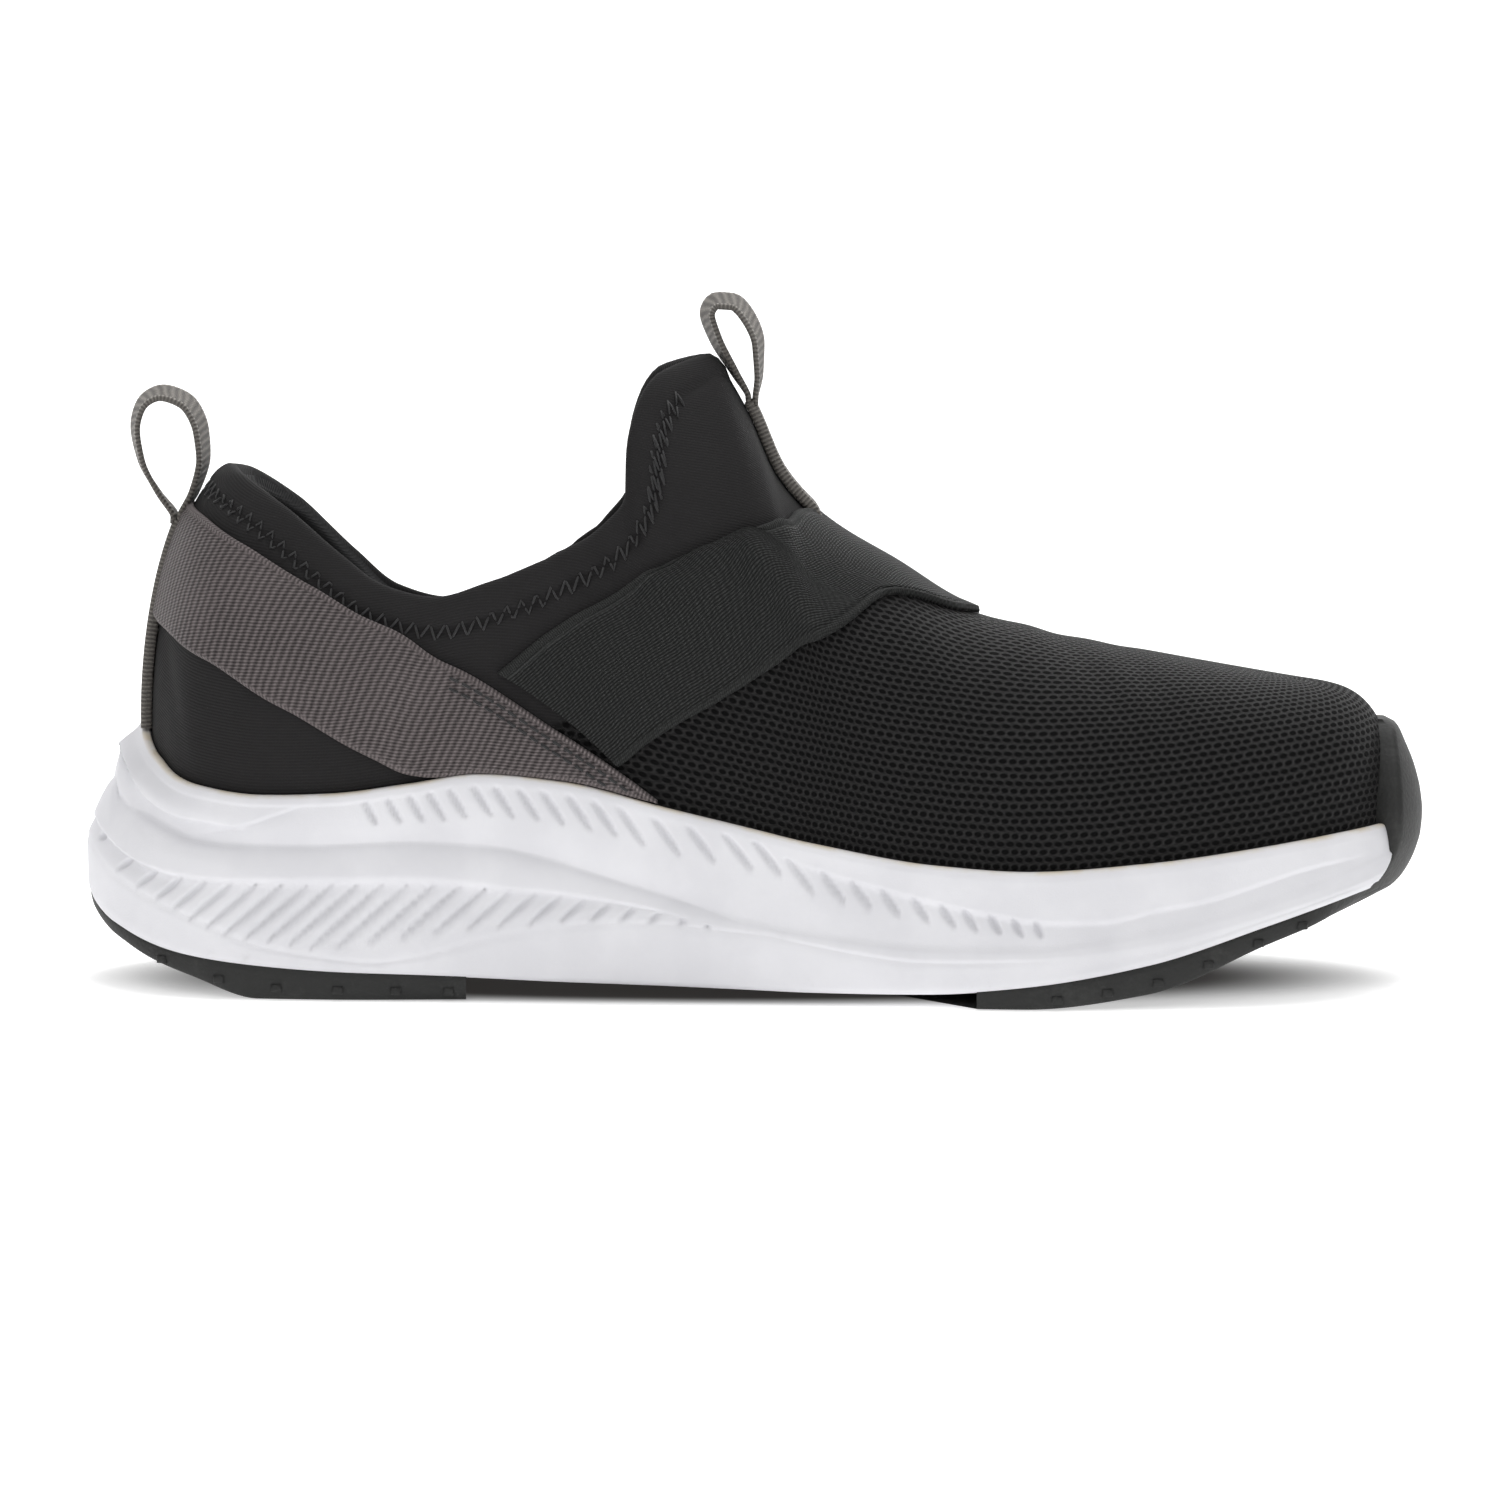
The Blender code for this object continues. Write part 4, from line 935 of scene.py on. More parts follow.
@dataclass
class Overlay:
    """A strip that lies on the sock between two edges, with rolled borders.

    lift is the height of its underside above the sock, thick its thickness and border the
    width of its selvedge. along and across count its points.
    """

    name: str
    top: list[Pair]
    foot: list[Pair]
    lift: float
    thick: float
    border: float
    across: int
    side: Side
    piped: bool = False
    along: int = 260

    def curve(self, marks: list[Pair], count: int) -> np.ndarray:
        """An edge's stations and rib steps, at evenly spaced places on the surface."""
        places = np.arange(len(marks))
        at = np.linspace(0, len(marks) - 1, 400)
        fine = np.column_stack([smooth_read(places, [m[c] for m in marks], at) for c in (0, 1)])
        covered = run_lengths(FORM.point(fine[:, 0], fine[:, 1]))
        even = np.linspace(0, covered[-1], count)
        return np.column_stack([np.interp(even, covered, fine[:, c]) for c in (0, 1)])

    def grid(self) -> tuple[np.ndarray, np.ndarray]:
        """Stations and rib steps over the strip, from its foot edge to its top edge."""
        top, foot = self.curve(self.top, self.along), self.curve(self.foot, self.along)
        share = np.linspace(0, 1, self.across)[None, :]
        both = [foot[:, c:c + 1] * (1 - share) + top[:, c:c + 1] * share for c in (0, 1)]
        return self.side.stations(both[0]), both[1]

    def make(self, material: bpy.types.Material, slot: Slot, *nodes: str) -> None:
        """Build the strip as a closed thin solid and dress it.

        Args:
            material: its finish.
            slot: its material slot; not used.
            nodes: the solids that it stands for.
        """
        t, s = self.grid()
        base, out = FORM.point(t, s), FORM.normal(t, s)
        covered = run_lengths(base[:, -1])
        steps = np.linalg.norm(np.diff(base, axis=1), axis=2)
        down = np.cumsum(steps[:, ::-1], axis=1)[:, ::-1]
        down = np.concatenate([down, np.zeros((len(base), 1))], axis=1)
        up = down[:, :1] - down
        edge = np.minimum(down, up)
        roll = 1.0 - np.sqrt(np.maximum(1.0 - np.clip(1.0 - edge / 0.7, 0, 1) ** 2, 0.0))
        seam = np.exp(-((down - self.border - 0.5) / 0.28) ** 2)
        groove = 0.40 * np.exp(-((down - self.border) / 0.4) ** 2)
        groove = groove + 0.35 * np.exp(-((up - self.border * 1.15) / 0.45) ** 2) * self.piped
        height = self.lift + self.thick * (1 - 0.7 * roll) - groove
        face = base + out * height[..., None]
        under = base + out * (self.lift - 0.25)
        along = np.broadcast_to(covered[:, None], down.shape)
        cloth = np.stack([along, down, np.zeros_like(down)], axis=-1)
        border = 1.0 - ease((down - self.border + 0.3) / 0.5)
        low = 1.0 - ease((up - self.border * 0.8) / 0.5)
        whole = np.concatenate([face, under[:, ::-1]], axis=1)
        marks = {"cloth": np.concatenate([cloth, cloth[:, ::-1]], axis=1),
                 "edge": np.concatenate([np.maximum(border, low * 0.6), border[:, ::-1]], axis=1),
                 "seam": np.concatenate([seam, 0 * seam], axis=1)}
        whole = np.concatenate([whole, whole[:, :1]], axis=1)
        marks = {k: np.concatenate([v, v[:, :1]], axis=1) for k, v in marks.items()}
        place_piece(weave_grid(self.name, whole, marks), material, slot, *nodes)


LINE_A = ((-128.7, 47.9), (-124.9, 42.0), (-120.6, 37.9), (-114.3, 35.6), (-108.9, 35.0), (-103.0, 34.3))
LINE_F = ((-111.9, 32.6), (-102.0, 34.5), (-95.3, 36.8), (-88.0, 39.4))
LINE_B = ((-129.5, 40.7), (-128.3, 37.0), (-122.4, 34.8), (-117.4, 33.0), (-112.0, 31.3), (-103.8, 30.5),
          (-89.4, 30.4), (-69.8, 31.1), (-50.7, 30.0), (-40.0, 27.6), (-29.0, 24.2), (-18.3, 21.0),
          (-7.4, 17.6), (1.7, 14.5))
LINE_C = ((-133.4, 33.6), (-130.0, 30.8), (-126.3, 28.1), (-121.2, 26.0), (-114.3, 24.6), (-101.2, 23.9),
          (-69.8, 24.2), (-59.0, 23.7), (-48.0, 22.5), (-37.2, 21.4), (-26.4, 19.9), (-18.3, 18.4),
          (-7.4, 15.9))
LINE_D = ((-133.8, 29.0), (-128.7, 23.7), (-124.5, 21.4), (-118.6, 18.7), (-112.7, 16.5), (-105.0, 13.3),
          (-97.3, 10.7), (-87.6, 9.0), (-75.0, 7.7), (-67.0, 8.5), (-59.0, 10.4), (-50.7, 12.5),
          (-40.0, 14.3), (-29.0, 15.4), (-18.3, 15.3), (-7.4, 14.3), (1.7, 13.7), (11.2, 11.9),
          (22.2, 10.1), (33.0, 9.1), (54.6, 9.7), (74.6, 11.8))
LINE_E = ((7.4, 29.2), (16.7, 26.1), (27.4, 23.4), (38.4, 20.9), (49.3, 18.8), (57.4, 17.8), (68.8, 17.7),
          (79.0, 19.7), (89.4, 21.5), (99.8, 24.5), (110.0, 27.3), (117.8, 28.7), (123.0, 29.5))


@dataclass
class Midsole:
    """The foam: flange, heel scoop, wing, rib field and the two rows of slits."""

    stations: int = 1280
    levels: int = 61
    flange: float = 2.2
    upper_slits: tuple[float, ...] = (-76.7, -72.2, -68.0, -64.1, -60.1, -55.4, -51.3, -46.5, -41.8, -36.8,
                                      -31.9, -26.8, -20.0, -13.1, -5.8, 0.3, 7.2, 13.6, 19.3, 25.2, 31.3,
                                      36.8, 41.4, 46.5, 51.1, 55.4)
    lower_count: int = 25
    slit_width: float = 0.72
    slit_depth: float = 0.95

    def profile(self, t: np.ndarray) -> np.ndarray:
        """The side without relief, from under the foot up to the cup's lip and down inside it.

        Args:
            t: stations.

        Returns:
            A grid of points, and how much of the relief each level takes in its last column.
        """
        deep = FORM.tuck(t)
        top, bottom = FORM.side("top", t), FORM.side("bottom", t)
        limit = deep - self.flange
        knots = [(bottom + 1.2, 0.5 + 0 * t), (FORM.side("rib_foot", t), 0.02 * deep),
                 (FORM.side("rib_top", t), 0.12 * deep), (FORM.side("wing", t), 0.34 * deep),
                 (FORM.side("middle", t), 0.42 * deep), (top - 1.6, limit - 0.3)]
        shares = np.concatenate([[0.0], np.cumsum([0.6, 1.2, 0.9, 1.1, 1.0])])
        shares /= shares[-1]
        levels = np.linspace(0, 1, self.levels)
        rows = []
        for k in range(len(t)):
            z = smooth_read(shares, [item[0][k] for item in knots], levels)
            inset = np.interp(levels, shares, [item[1][k] for item in knots])
            inset = np.convolve(np.pad(inset, 5, mode="edge"), np.hanning(13)[1:-1] / 6.0, "valid")
            rows.append(np.stack([inset, z], axis=1))
        side = np.array(rows)
        inset = np.minimum(side[..., 0], limit[:, None])
        body = FORM.inset(np.repeat(t[:, None], inset.shape[1], 1), inset, side[..., 1])
        take = np.repeat(ease(np.minimum(levels / 0.06, (1 - levels) / 0.05))[None], len(t), 0)

        def ring(at_inset: np.ndarray | float, height: np.ndarray) -> np.ndarray:
            """One plain ring of the profile."""
            return FORM.inset(t, at_inset, height)[:, None]
        roll = [(7.0, bottom), (3.0, bottom), (1.6, bottom), (np.minimum(0.8, limit), bottom + 0.3)]
        lip = [(limit, top - 0.8), (limit + 0.25, top - 0.25), (limit + 0.8, top), (deep - 0.7, top),
               (deep - 0.32, top - 0.3), (deep - 0.3, top - 1.5), (deep - 0.3, FORM.side("bed", t))]
        low, high = [ring(*item) for item in roll], [ring(*item) for item in lip]
        grid = np.concatenate([*low, body, *high], axis=1)
        mask = np.pad(take, ((0, 0), (len(low), len(high))))
        return np.concatenate([grid, mask[..., None]], axis=2)

    def carve(self, x: np.ndarray, z: np.ndarray) -> np.ndarray:
        """Depth of the broad relief at side-view places."""
        a, b = read_line(LINE_A, x) - z, read_line(LINE_B, x) - z
        c, d = read_line(LINE_C, x) - z, read_line(LINE_D, x) - z
        e, f = read_line(LINE_E, x) - z, read_line(LINE_F, x) - z
        heel = 1 - ease((x + 108.0) / 9.0)
        scoop = 1.5 * ease(a / 0.8) * (1 - ease((a - 1.0) / 7.0)) * heel
        fold = 0.7 * ease(f / 0.7) * np.exp(-np.maximum(f, 0) / 2.2)
        fold = fold * ease((x + 114.0) / 8.0) * (1 - ease((x + 94.0) / 8.0))
        wing = 1.9 * np.where(b < 0, np.exp(b / 4.2), np.exp(-b / 1.9))
        wing = wing * (1 - ease((x + 22.0) / 26.0))
        ledge = 1.3 * ease(c / 0.7) * (1 - ease((c / np.maximum(c - d, 1.0)) / 0.98))
        ledge = ledge * (1 - ease((x + 34.0) / 26.0))
        line_d = 0.28 * np.exp(-(d / 0.55) ** 2) * (1 - ease((x - 40.0) / 30.0))
        toe = 0.75 * ease(e / 1.2) * np.exp(-np.maximum(e - 1.2, 0) / 5.0) * ease((x - 2.0) / 22.0)
        whole = scoop + fold + wing + ledge + line_d + toe * (1 - ease((x - 112.0) / 12.0))
        return whole * (1 - 0.5 * ease((-126.0 - x) / 6.0))

    def slits(self, x: np.ndarray, z: np.ndarray) -> np.ndarray:
        """How deep in a slit each side-view place is, from 0 to 1."""
        cut = []
        for start in self.upper_slits:
            under = float(read_line(LINE_E, start)) - 0.6 if start > 4.0 else 99.0
            edge = float(side_height("top", start / FORM.length + 0.5)) - 1.8
            high = min(edge, under)
            dx = np.interp(start, (-76.7, -26.8, -5.0, 55.4), (2.6, 5.6, 6.0, 1.6))
            dz = np.interp(start, (-76.7, -26.8, -5.0, 55.4), (4.8, 8.2, 7.4, 2.8))
            cut.append((start, high, start + dx, high - dz))
        for k in range(self.lower_count):
            head = -130.5 + 122.0 * (k / (self.lower_count - 1)) ** 0.96
            high = float(read_line(LINE_C, head)) - 1.0
            room = high - float(read_line(LINE_D, head - 4.0))
            dz = 0.80 * room
            cut.append((head, high, head - 1.15 * dz, high - dz))
        depth = np.zeros(x.shape)
        for x0, z0, x1, z1 in cut:
            wide, tall = x1 - x0, z1 - z0
            near = ((np.abs(x - (x0 + x1) / 2) < abs(wide) / 2 + 3)
                    & (np.abs(z - (z0 + z1) / 2) < abs(tall) / 2 + 3))
            px, pz = x[near] - x0, z[near] - z0
            run = np.clip((px * wide + pz * tall) / (wide ** 2 + tall ** 2 + 1e-9), 0, 1)
            far = np.hypot(px - run * wide, pz - run * tall)
            taper = 0.35 + 0.65 * np.sin(np.clip(run, 0.02, 0.98) * math.pi) ** 0.5
            here = ease(1.25 - far / (self.slit_width * taper)) * taper
            depth[near] = np.maximum(depth[near], here)
        return depth

    def make(self) -> None:
        """Build the foam as one closed mesh and dress it."""
        t = np.linspace(0, 2 * ROWS, self.stations, endpoint=False)
        made = self.profile(t)
        grid, take = made[..., :3], made[..., 3]
        x, z = grid[..., 0], grid[..., 2]
        _, outward = FORM.outline(np.repeat(t[:, None], grid.shape[1], 1))
        slit = self.slits(x, z) * take
        depth = self.carve(x, z) * take + slit * self.slit_depth
        inner = np.linspace(0, 1, grid.shape[1])[None] < 0.86
        depth = depth + 3.0 * ease((x - read_line(BUMPER_EDGE, z)) / 1.2 + 0.2) * inner
        grid = grid.copy()
        grid[..., :2] -= outward * depth[..., None]
        top, bottom = FORM.side("top", t)[:, None], FORM.side("bottom", t)[:, None]
        glue = np.exp(-((z - top) / 0.45) ** 2) * (np.arange(grid.shape[1])[None] > self.levels - 5)
        low = 1 - ease((z - bottom) / 5.0)
        height = FORM.side("bed", t)
        bed = FORM.inset(t, FORM.tuck(t) + 6.0, height)[:, None]
        inside = FORM.inset(t, 24.0, height)[:, None] * np.array([0.9, 0.4, 1.0])
        under = FORM.inset(t, 7.0, bottom[:, 0])[:, None] * np.array([0.97, 0.02, 1.0])
        grid = np.concatenate([under, grid, bed, inside], axis=1)

        def wide(item: np.ndarray) -> np.ndarray:
            """Add the plain columns under the foot and in the cup."""
            blank = np.zeros((len(t), 1))
            return np.concatenate([blank, item, blank, blank], axis=1)
        # groove holds the slits' depth; the foam paints shade in the slits from it
        marks = {"groove": wide(slit), "glue": wide(glue), "low": wide(low + 0 * z)}
        foam = weave_grid("foam_midsole", grid, marks, closed=True)
        place_piece(foam, Foam().build(), Slot.FOAM, "midsole")


@dataclass
class Footbed:
    """The insole, seen through the collar."""

    thick: float = 4.0
    clearance: float = 2.8

    def make(self) -> None:
        """Build the insole and dress it."""
        t = np.linspace(0, 2 * ROWS, 300, endpoint=False)
        bed = FORM.side("bed", t) + 0.45
        inset = FORM.tuck(t) + self.clearance
        rings = [(inset + 3.2, 0.0), (inset + 1.0, 0.0), (inset + 0.5, 1.2), (inset + 0.5, 2.4),
                 (inset + 0.9, 3.4), (inset + 2.0, 4.0), (inset + 6.0, 3.7), (inset + 12.0, 3.4)]
        grid = np.stack([FORM.inset(t, i, bed + h) for i, h in rings], axis=1)
        middle = FORM.inset(t, inset + 12.0, bed + 3.3)[:, None] * np.array([0.99, 0.02, 1.0])
        grid = np.concatenate([grid, middle], axis=1)
        cloth = np.stack([grid[..., 0], grid[..., 1], 0 * grid[..., 0]], axis=-1)
        piece = weave_grid("insole_cloth_top", grid, {"cloth": cloth}, closed=True)
        place_piece(piece, Lining().build(), Slot.INSOLE, "insole")


@dataclass
class Loop:
    """A pull loop of webbing whose doubled tape lies on the sock."""

    name: str
    node: str
    path: list[Pair]
    tail: list[Pair]
    width: float = 9.0
    thick: float = 1.1
    twist: float = 0.0

    def strip(self, name: str, path: np.ndarray, thick: float, twist: float) -> bpy.types.Object:
        """One ribbon along a path in the side view, with rounded edges."""
        path = even_path(path, 0.7)
        lean = unit(np.gradient(path, axis=0))
        out = np.column_stack([-lean[:, 1], np.zeros(len(path)), lean[:, 0]])
        share = np.linspace(0, 1, len(path))
        turn = twist * np.sin(share * math.pi)
        across = np.column_stack([0 * share, np.cos(turn), 0 * share]) + out * np.sin(turn)[:, None]
        out = unit(np.cross(across, np.column_stack([lean[:, 0], 0 * share, lean[:, 1]])))
        half = self.width / 2
        spots = np.concatenate([np.linspace(-1, 1, 25), np.linspace(1, -1, 25), [-1]])
        sign = np.concatenate([np.ones(25), -np.ones(25), [1]])
        rise = np.sqrt(np.maximum(1 - np.clip((np.abs(spots) - 0.86) / 0.14, 0, 1) ** 2, 0)) * sign
        spine = np.column_stack([path[:, 0], 0 * share, path[:, 1]])
        grid = (spine[:, None] + across[:, None] * (spots * half)[:, None]
                + out[:, None] * (rise * thick / 2)[:, None])
        along = np.repeat(run_lengths(path)[:, None], len(spots), 1)
        cloth = np.stack([along, np.repeat((spots * half)[None], len(path), 0), 0 * along], axis=-1)
        edge = np.repeat(ease((np.abs(spots) * half - half + 1.5) / 0.4)[None], len(path), 0)
        # rim marks the tape's narrow sides, where the webbing paints shade
        rim = np.repeat((np.abs(spots) > 0.9)[None] * 1.0, len(path), 0)
        return weave_grid(name, grid, {"cloth": cloth, "edge": edge, "rim": rim})

    def make(self) -> None:
        """Build the loop and its tape and dress them."""
        loop = self.strip(self.name, np.array(self.path), self.thick, self.twist)
        place_piece(loop, LOOP_WEBBING, Slot.WEBBING, self.node)
        tape = self.strip(self.name + "_tape", np.array(self.tail), 2 * self.thick, 0.0)
        place_piece(tape, LOOP_WEBBING, Slot.WEBBING)


HEEL_LOOP = ((-0.170, 0.21), (-0.306, 0.47), (-0.349, 0.72), (-0.290, 0.92), (-0.137, 1.00),
             (0.055, 0.93), (0.169, 0.71), (0.188, 0.49), (0.118, 0.23))
TONGUE_LOOP = ((-0.157, 0.30), (-0.338, 0.62), (-0.417, 0.86), (-0.324, 0.99), (-0.167, 0.98),
               (-0.020, 0.84), (0.088, 0.56), (0.093, 0.27))


def loop_path(foot: Pair, shape: tuple[Pair, ...], rise: float, lean: float) -> np.ndarray:
    """The loop's middle line, as in the part's source, read finely.

    Args:
        foot: where the loop starts, along and up.
        shape: its points as shares of its rise.
        rise: its rise in mm.
        lean: how far its foot stands from the tape's end.

    Returns:
        Points along and up.
    """
    half, sunk, clear = 0.725, -0.55, 0.88
    points = [(foot[0] + lean - half, foot[1] + sunk), (foot[0] + lean - half, foot[1] + clear)]
    points += [(foot[0] + x * rise, foot[1] + z * rise) for x, z in shape]
    points += [(foot[0] + lean + half, foot[1] + clear), (foot[0] + lean + half, foot[1] + sunk)]
    points = np.array(points)
    places = np.arange(len(points))
    at = np.linspace(0, len(points) - 1, 12 * (len(points) - 1) + 1)
    return np.column_stack([smooth_read(places, points[:, c], at) for c in (0, 1)])


def make_loops() -> None:
    """Build both pull loops on the tapes that run down the heel and the tongue."""
    lie = 0.1 + 1.1
    s = np.linspace(0.0, RIB_STEPS, 160)
    back = FORM.lay(np.zeros(160), s, lie)
    heights = np.linspace(float(FORM.side("top", np.zeros(1))[0]) - 2.0, 93.0, 60)
    order = np.argsort(back[:, 2])
    tail = np.column_stack([np.interp(heights, back[order, 2], back[order, 0]), heights])
    Loop("heel_pull_loop", "heel_loop", loop_path(tail[-1], HEEL_LOOP, 25.5, -0.45), tail,
         twist=0.24).make()
    t = np.linspace(FORM.tongue_station, 8.0, 200)
    front = FORM.lay(t, np.full(200, RIB_STEPS), lie)
    along = np.linspace(16.5, -0.405, 50)
    sink = 1.6 * ease((along - 11.8) / 3.5)
    tail = np.column_stack([along - sink * 0.5, np.interp(along, front[:, 0], front[:, 2]) - sink])
    Loop("tongue_pull_loop", "tongue_loop", loop_path(tail[-1], TONGUE_LOOP, 20.4, 0.5), tail,
         twist=0.28).make()


@dataclass
class Overlays:
    """The elastic band over the instep and the heel straps, with their seams."""

    band_ridge: Pair = (13.3, 45.9)
    strap_lift: float = 0.5
    strap_thick: float = 1.4
    stitch_start: float = -60.0
    stitch_rows: tuple[tuple[str, float], ...] = (("upper", 2.415), ("lower", 4.485))

    def make(self) -> None:
        """Build the band, both straps and the straps' stitches."""
        ends = [(self.ridge_station(x, *reach), RIB_STEPS)
                for x, reach in zip(self.band_ridge, ((6.2, 7.0), (7.0, 8.0)))]
        top = [*FORM.trace(BAND_TOP, (3.6, 3.5)), ends[0]]
        foot = FORM.trace(BAND_FOOT, (4.4, 1.0))
        for place in BAND_FRONT:
            foot.append(FORM.find(np.array(place), (0, 1), foot[-1]))
        foot.append(ends[1])
        elastic, grey = Elastic().build(), Webbing().build()
        for side, nodes in ((Side.MEDIAL, ("instep_band",)), (Side.LATERAL, ())):
            band = Overlay(f"elastic_band_{side.value}", top, foot, 0.45, 1.2, 1.8, 70, side, True)
            band.make(elastic, Slot.ELASTIC, *nodes)
        top = FORM.trace(STRAP_TOP, (0.6, 6.0))
        foot = FORM.trace(STRAP_FOOT, (0.5, 3.5)) + [(t, 0.05) for t in STRAP_SOLE]
        for side in Side:
            strap = Overlay(f"webbing_strap_{side.value}", top, foot, self.strap_lift,
                            self.strap_thick, 1.1, 44, side)
            strap.make(grey, Slot.WEBBING, f"heel_strap_{side.value}")
            self.sew(strap)

    def ridge_station(self, x: float, low: float, high: float) -> float:
        """Station where the ridge passes a place along, looked for between two stations."""
        t = np.linspace(low, high, 50)
        return float(np.interp(x, FORM.rim(t)[:, 0], t))

    def sew(self, strap: Overlay) -> None:
        """Double black stitches beside the strap's upper edge, from its middle forwards."""
        edge = strap.curve(strap.top, 220)
        start = np.searchsorted(FORM.point(edge[:, 0], edge[:, 1])[:, 0], self.stitch_start)
        for place, drop in self.stitch_rows:
            row = []
            for t, s in edge[start:]:
                steps = np.linspace(s, max(s - 1.6, 0.04), 30)
                rib = FORM.point(np.full(30, t), steps)
                row.append((t, float(np.interp(drop, run_lengths(rib), steps))))
            row = np.array([mark for mark in row if mark[1] > 0.08])
            t = strap.side.stations(row[:, 0])
            path = FORM.lay(t, row[:, 1], self.strap_lift + self.strap_thick + 0.02)
            pieces = thread_run(f"strap_stitches_{strap.side.value}_{place}", path,
                                FORM.normal(t, row[:, 1]), 2.2, 0.45, 0.33)
            place_piece(pieces, BLACK_THREAD, Slot.WEBBING)


BUMPER_EDGE = ((8.0, 111.0), (10.5, 113.4), (16.0, 117.0), (19.9, 119.6), (23.5, 124.7), (28.8, 128.0),
               (34.5, 129.0), (42.0, 128.8), (56.0, 128.4))


@dataclass
class ToeBumper:
    """The rubber that wraps up over the toe, rolled in at its edges."""

    levels: tuple[Pair, ...] = ((15.5, 8.6), (19.0, 6.0), (21.5, 4.4), (24.0, 2.8), (27.0, 1.4), (31.0, 0.3),
                                (35.0, 0.0), (39.0, 0.4), (44.0, 1.6), (49.0, 3.6), (52.0, 5.0), (53.6, 6.2))
    proud: float = 0.15
    side_roll: float = 0.07
    top_roll: float = 1.4

    def rounded(self, share) -> np.ndarray:
        """How far a rounded edge has fallen back, from 1 at the edge to 0 where it ends."""
        return 1 - np.sqrt(1 - np.clip(1 - share, 0, 1) ** 2)

    def make(self) -> None:
        """Build the bumper and dress it."""
        fine = np.linspace(9.0, 12.0, 900)
        heights = np.linspace(self.levels[0][0], self.levels[-1][0], 48)
        rows = []
        for z in heights:
            inset = float(read_line(self.levels, z)) - self.proud
            along = FORM.inset(fine, inset, z)[:, 0]
            edge = float(read_line(BUMPER_EDGE, z))
            start = float(fine[min(int(np.searchsorted(along, edge)), 899)])
            t = np.linspace(start, 2 * ROWS - start, 90)
            near = np.minimum(t - start, 2 * ROWS - start - t)
            roll = 1.2 * self.rounded(near / self.side_roll)
            top = float(self.rounded((heights[-1] - z) / self.top_roll))
            t = np.concatenate([[start, start], t, [2 * ROWS - start] * 2])
            roll = np.concatenate([[9.0, 4.0], roll, [4.0, 9.0]])
            row = FORM.inset(t, inset + roll + top, z)
            row[:, 2] = np.maximum(row[:, 2], FORM.side("ground", t) + 0.4)
            rows.append(row)
        for extra in (3.0, 8.0):
            last = rows[-1].copy()
            last[:, 0] -= extra * 0.6
            rows.append(last)
        piece = weave_grid("toe_bumper_wrap", np.array(rows))
        place_piece(piece, RUBBER, Slot.RUBBER)


# Share of the pad's height, and how far in its side stands there
PAD_PROFILE = ((1.0, 1.2), (0.97, 0.95), (0.75, 0.92), (0.5, 0.96), (0.3, 1.1), (0.14, 1.4),
               (0.04, 1.9), (0.0, 2.6))


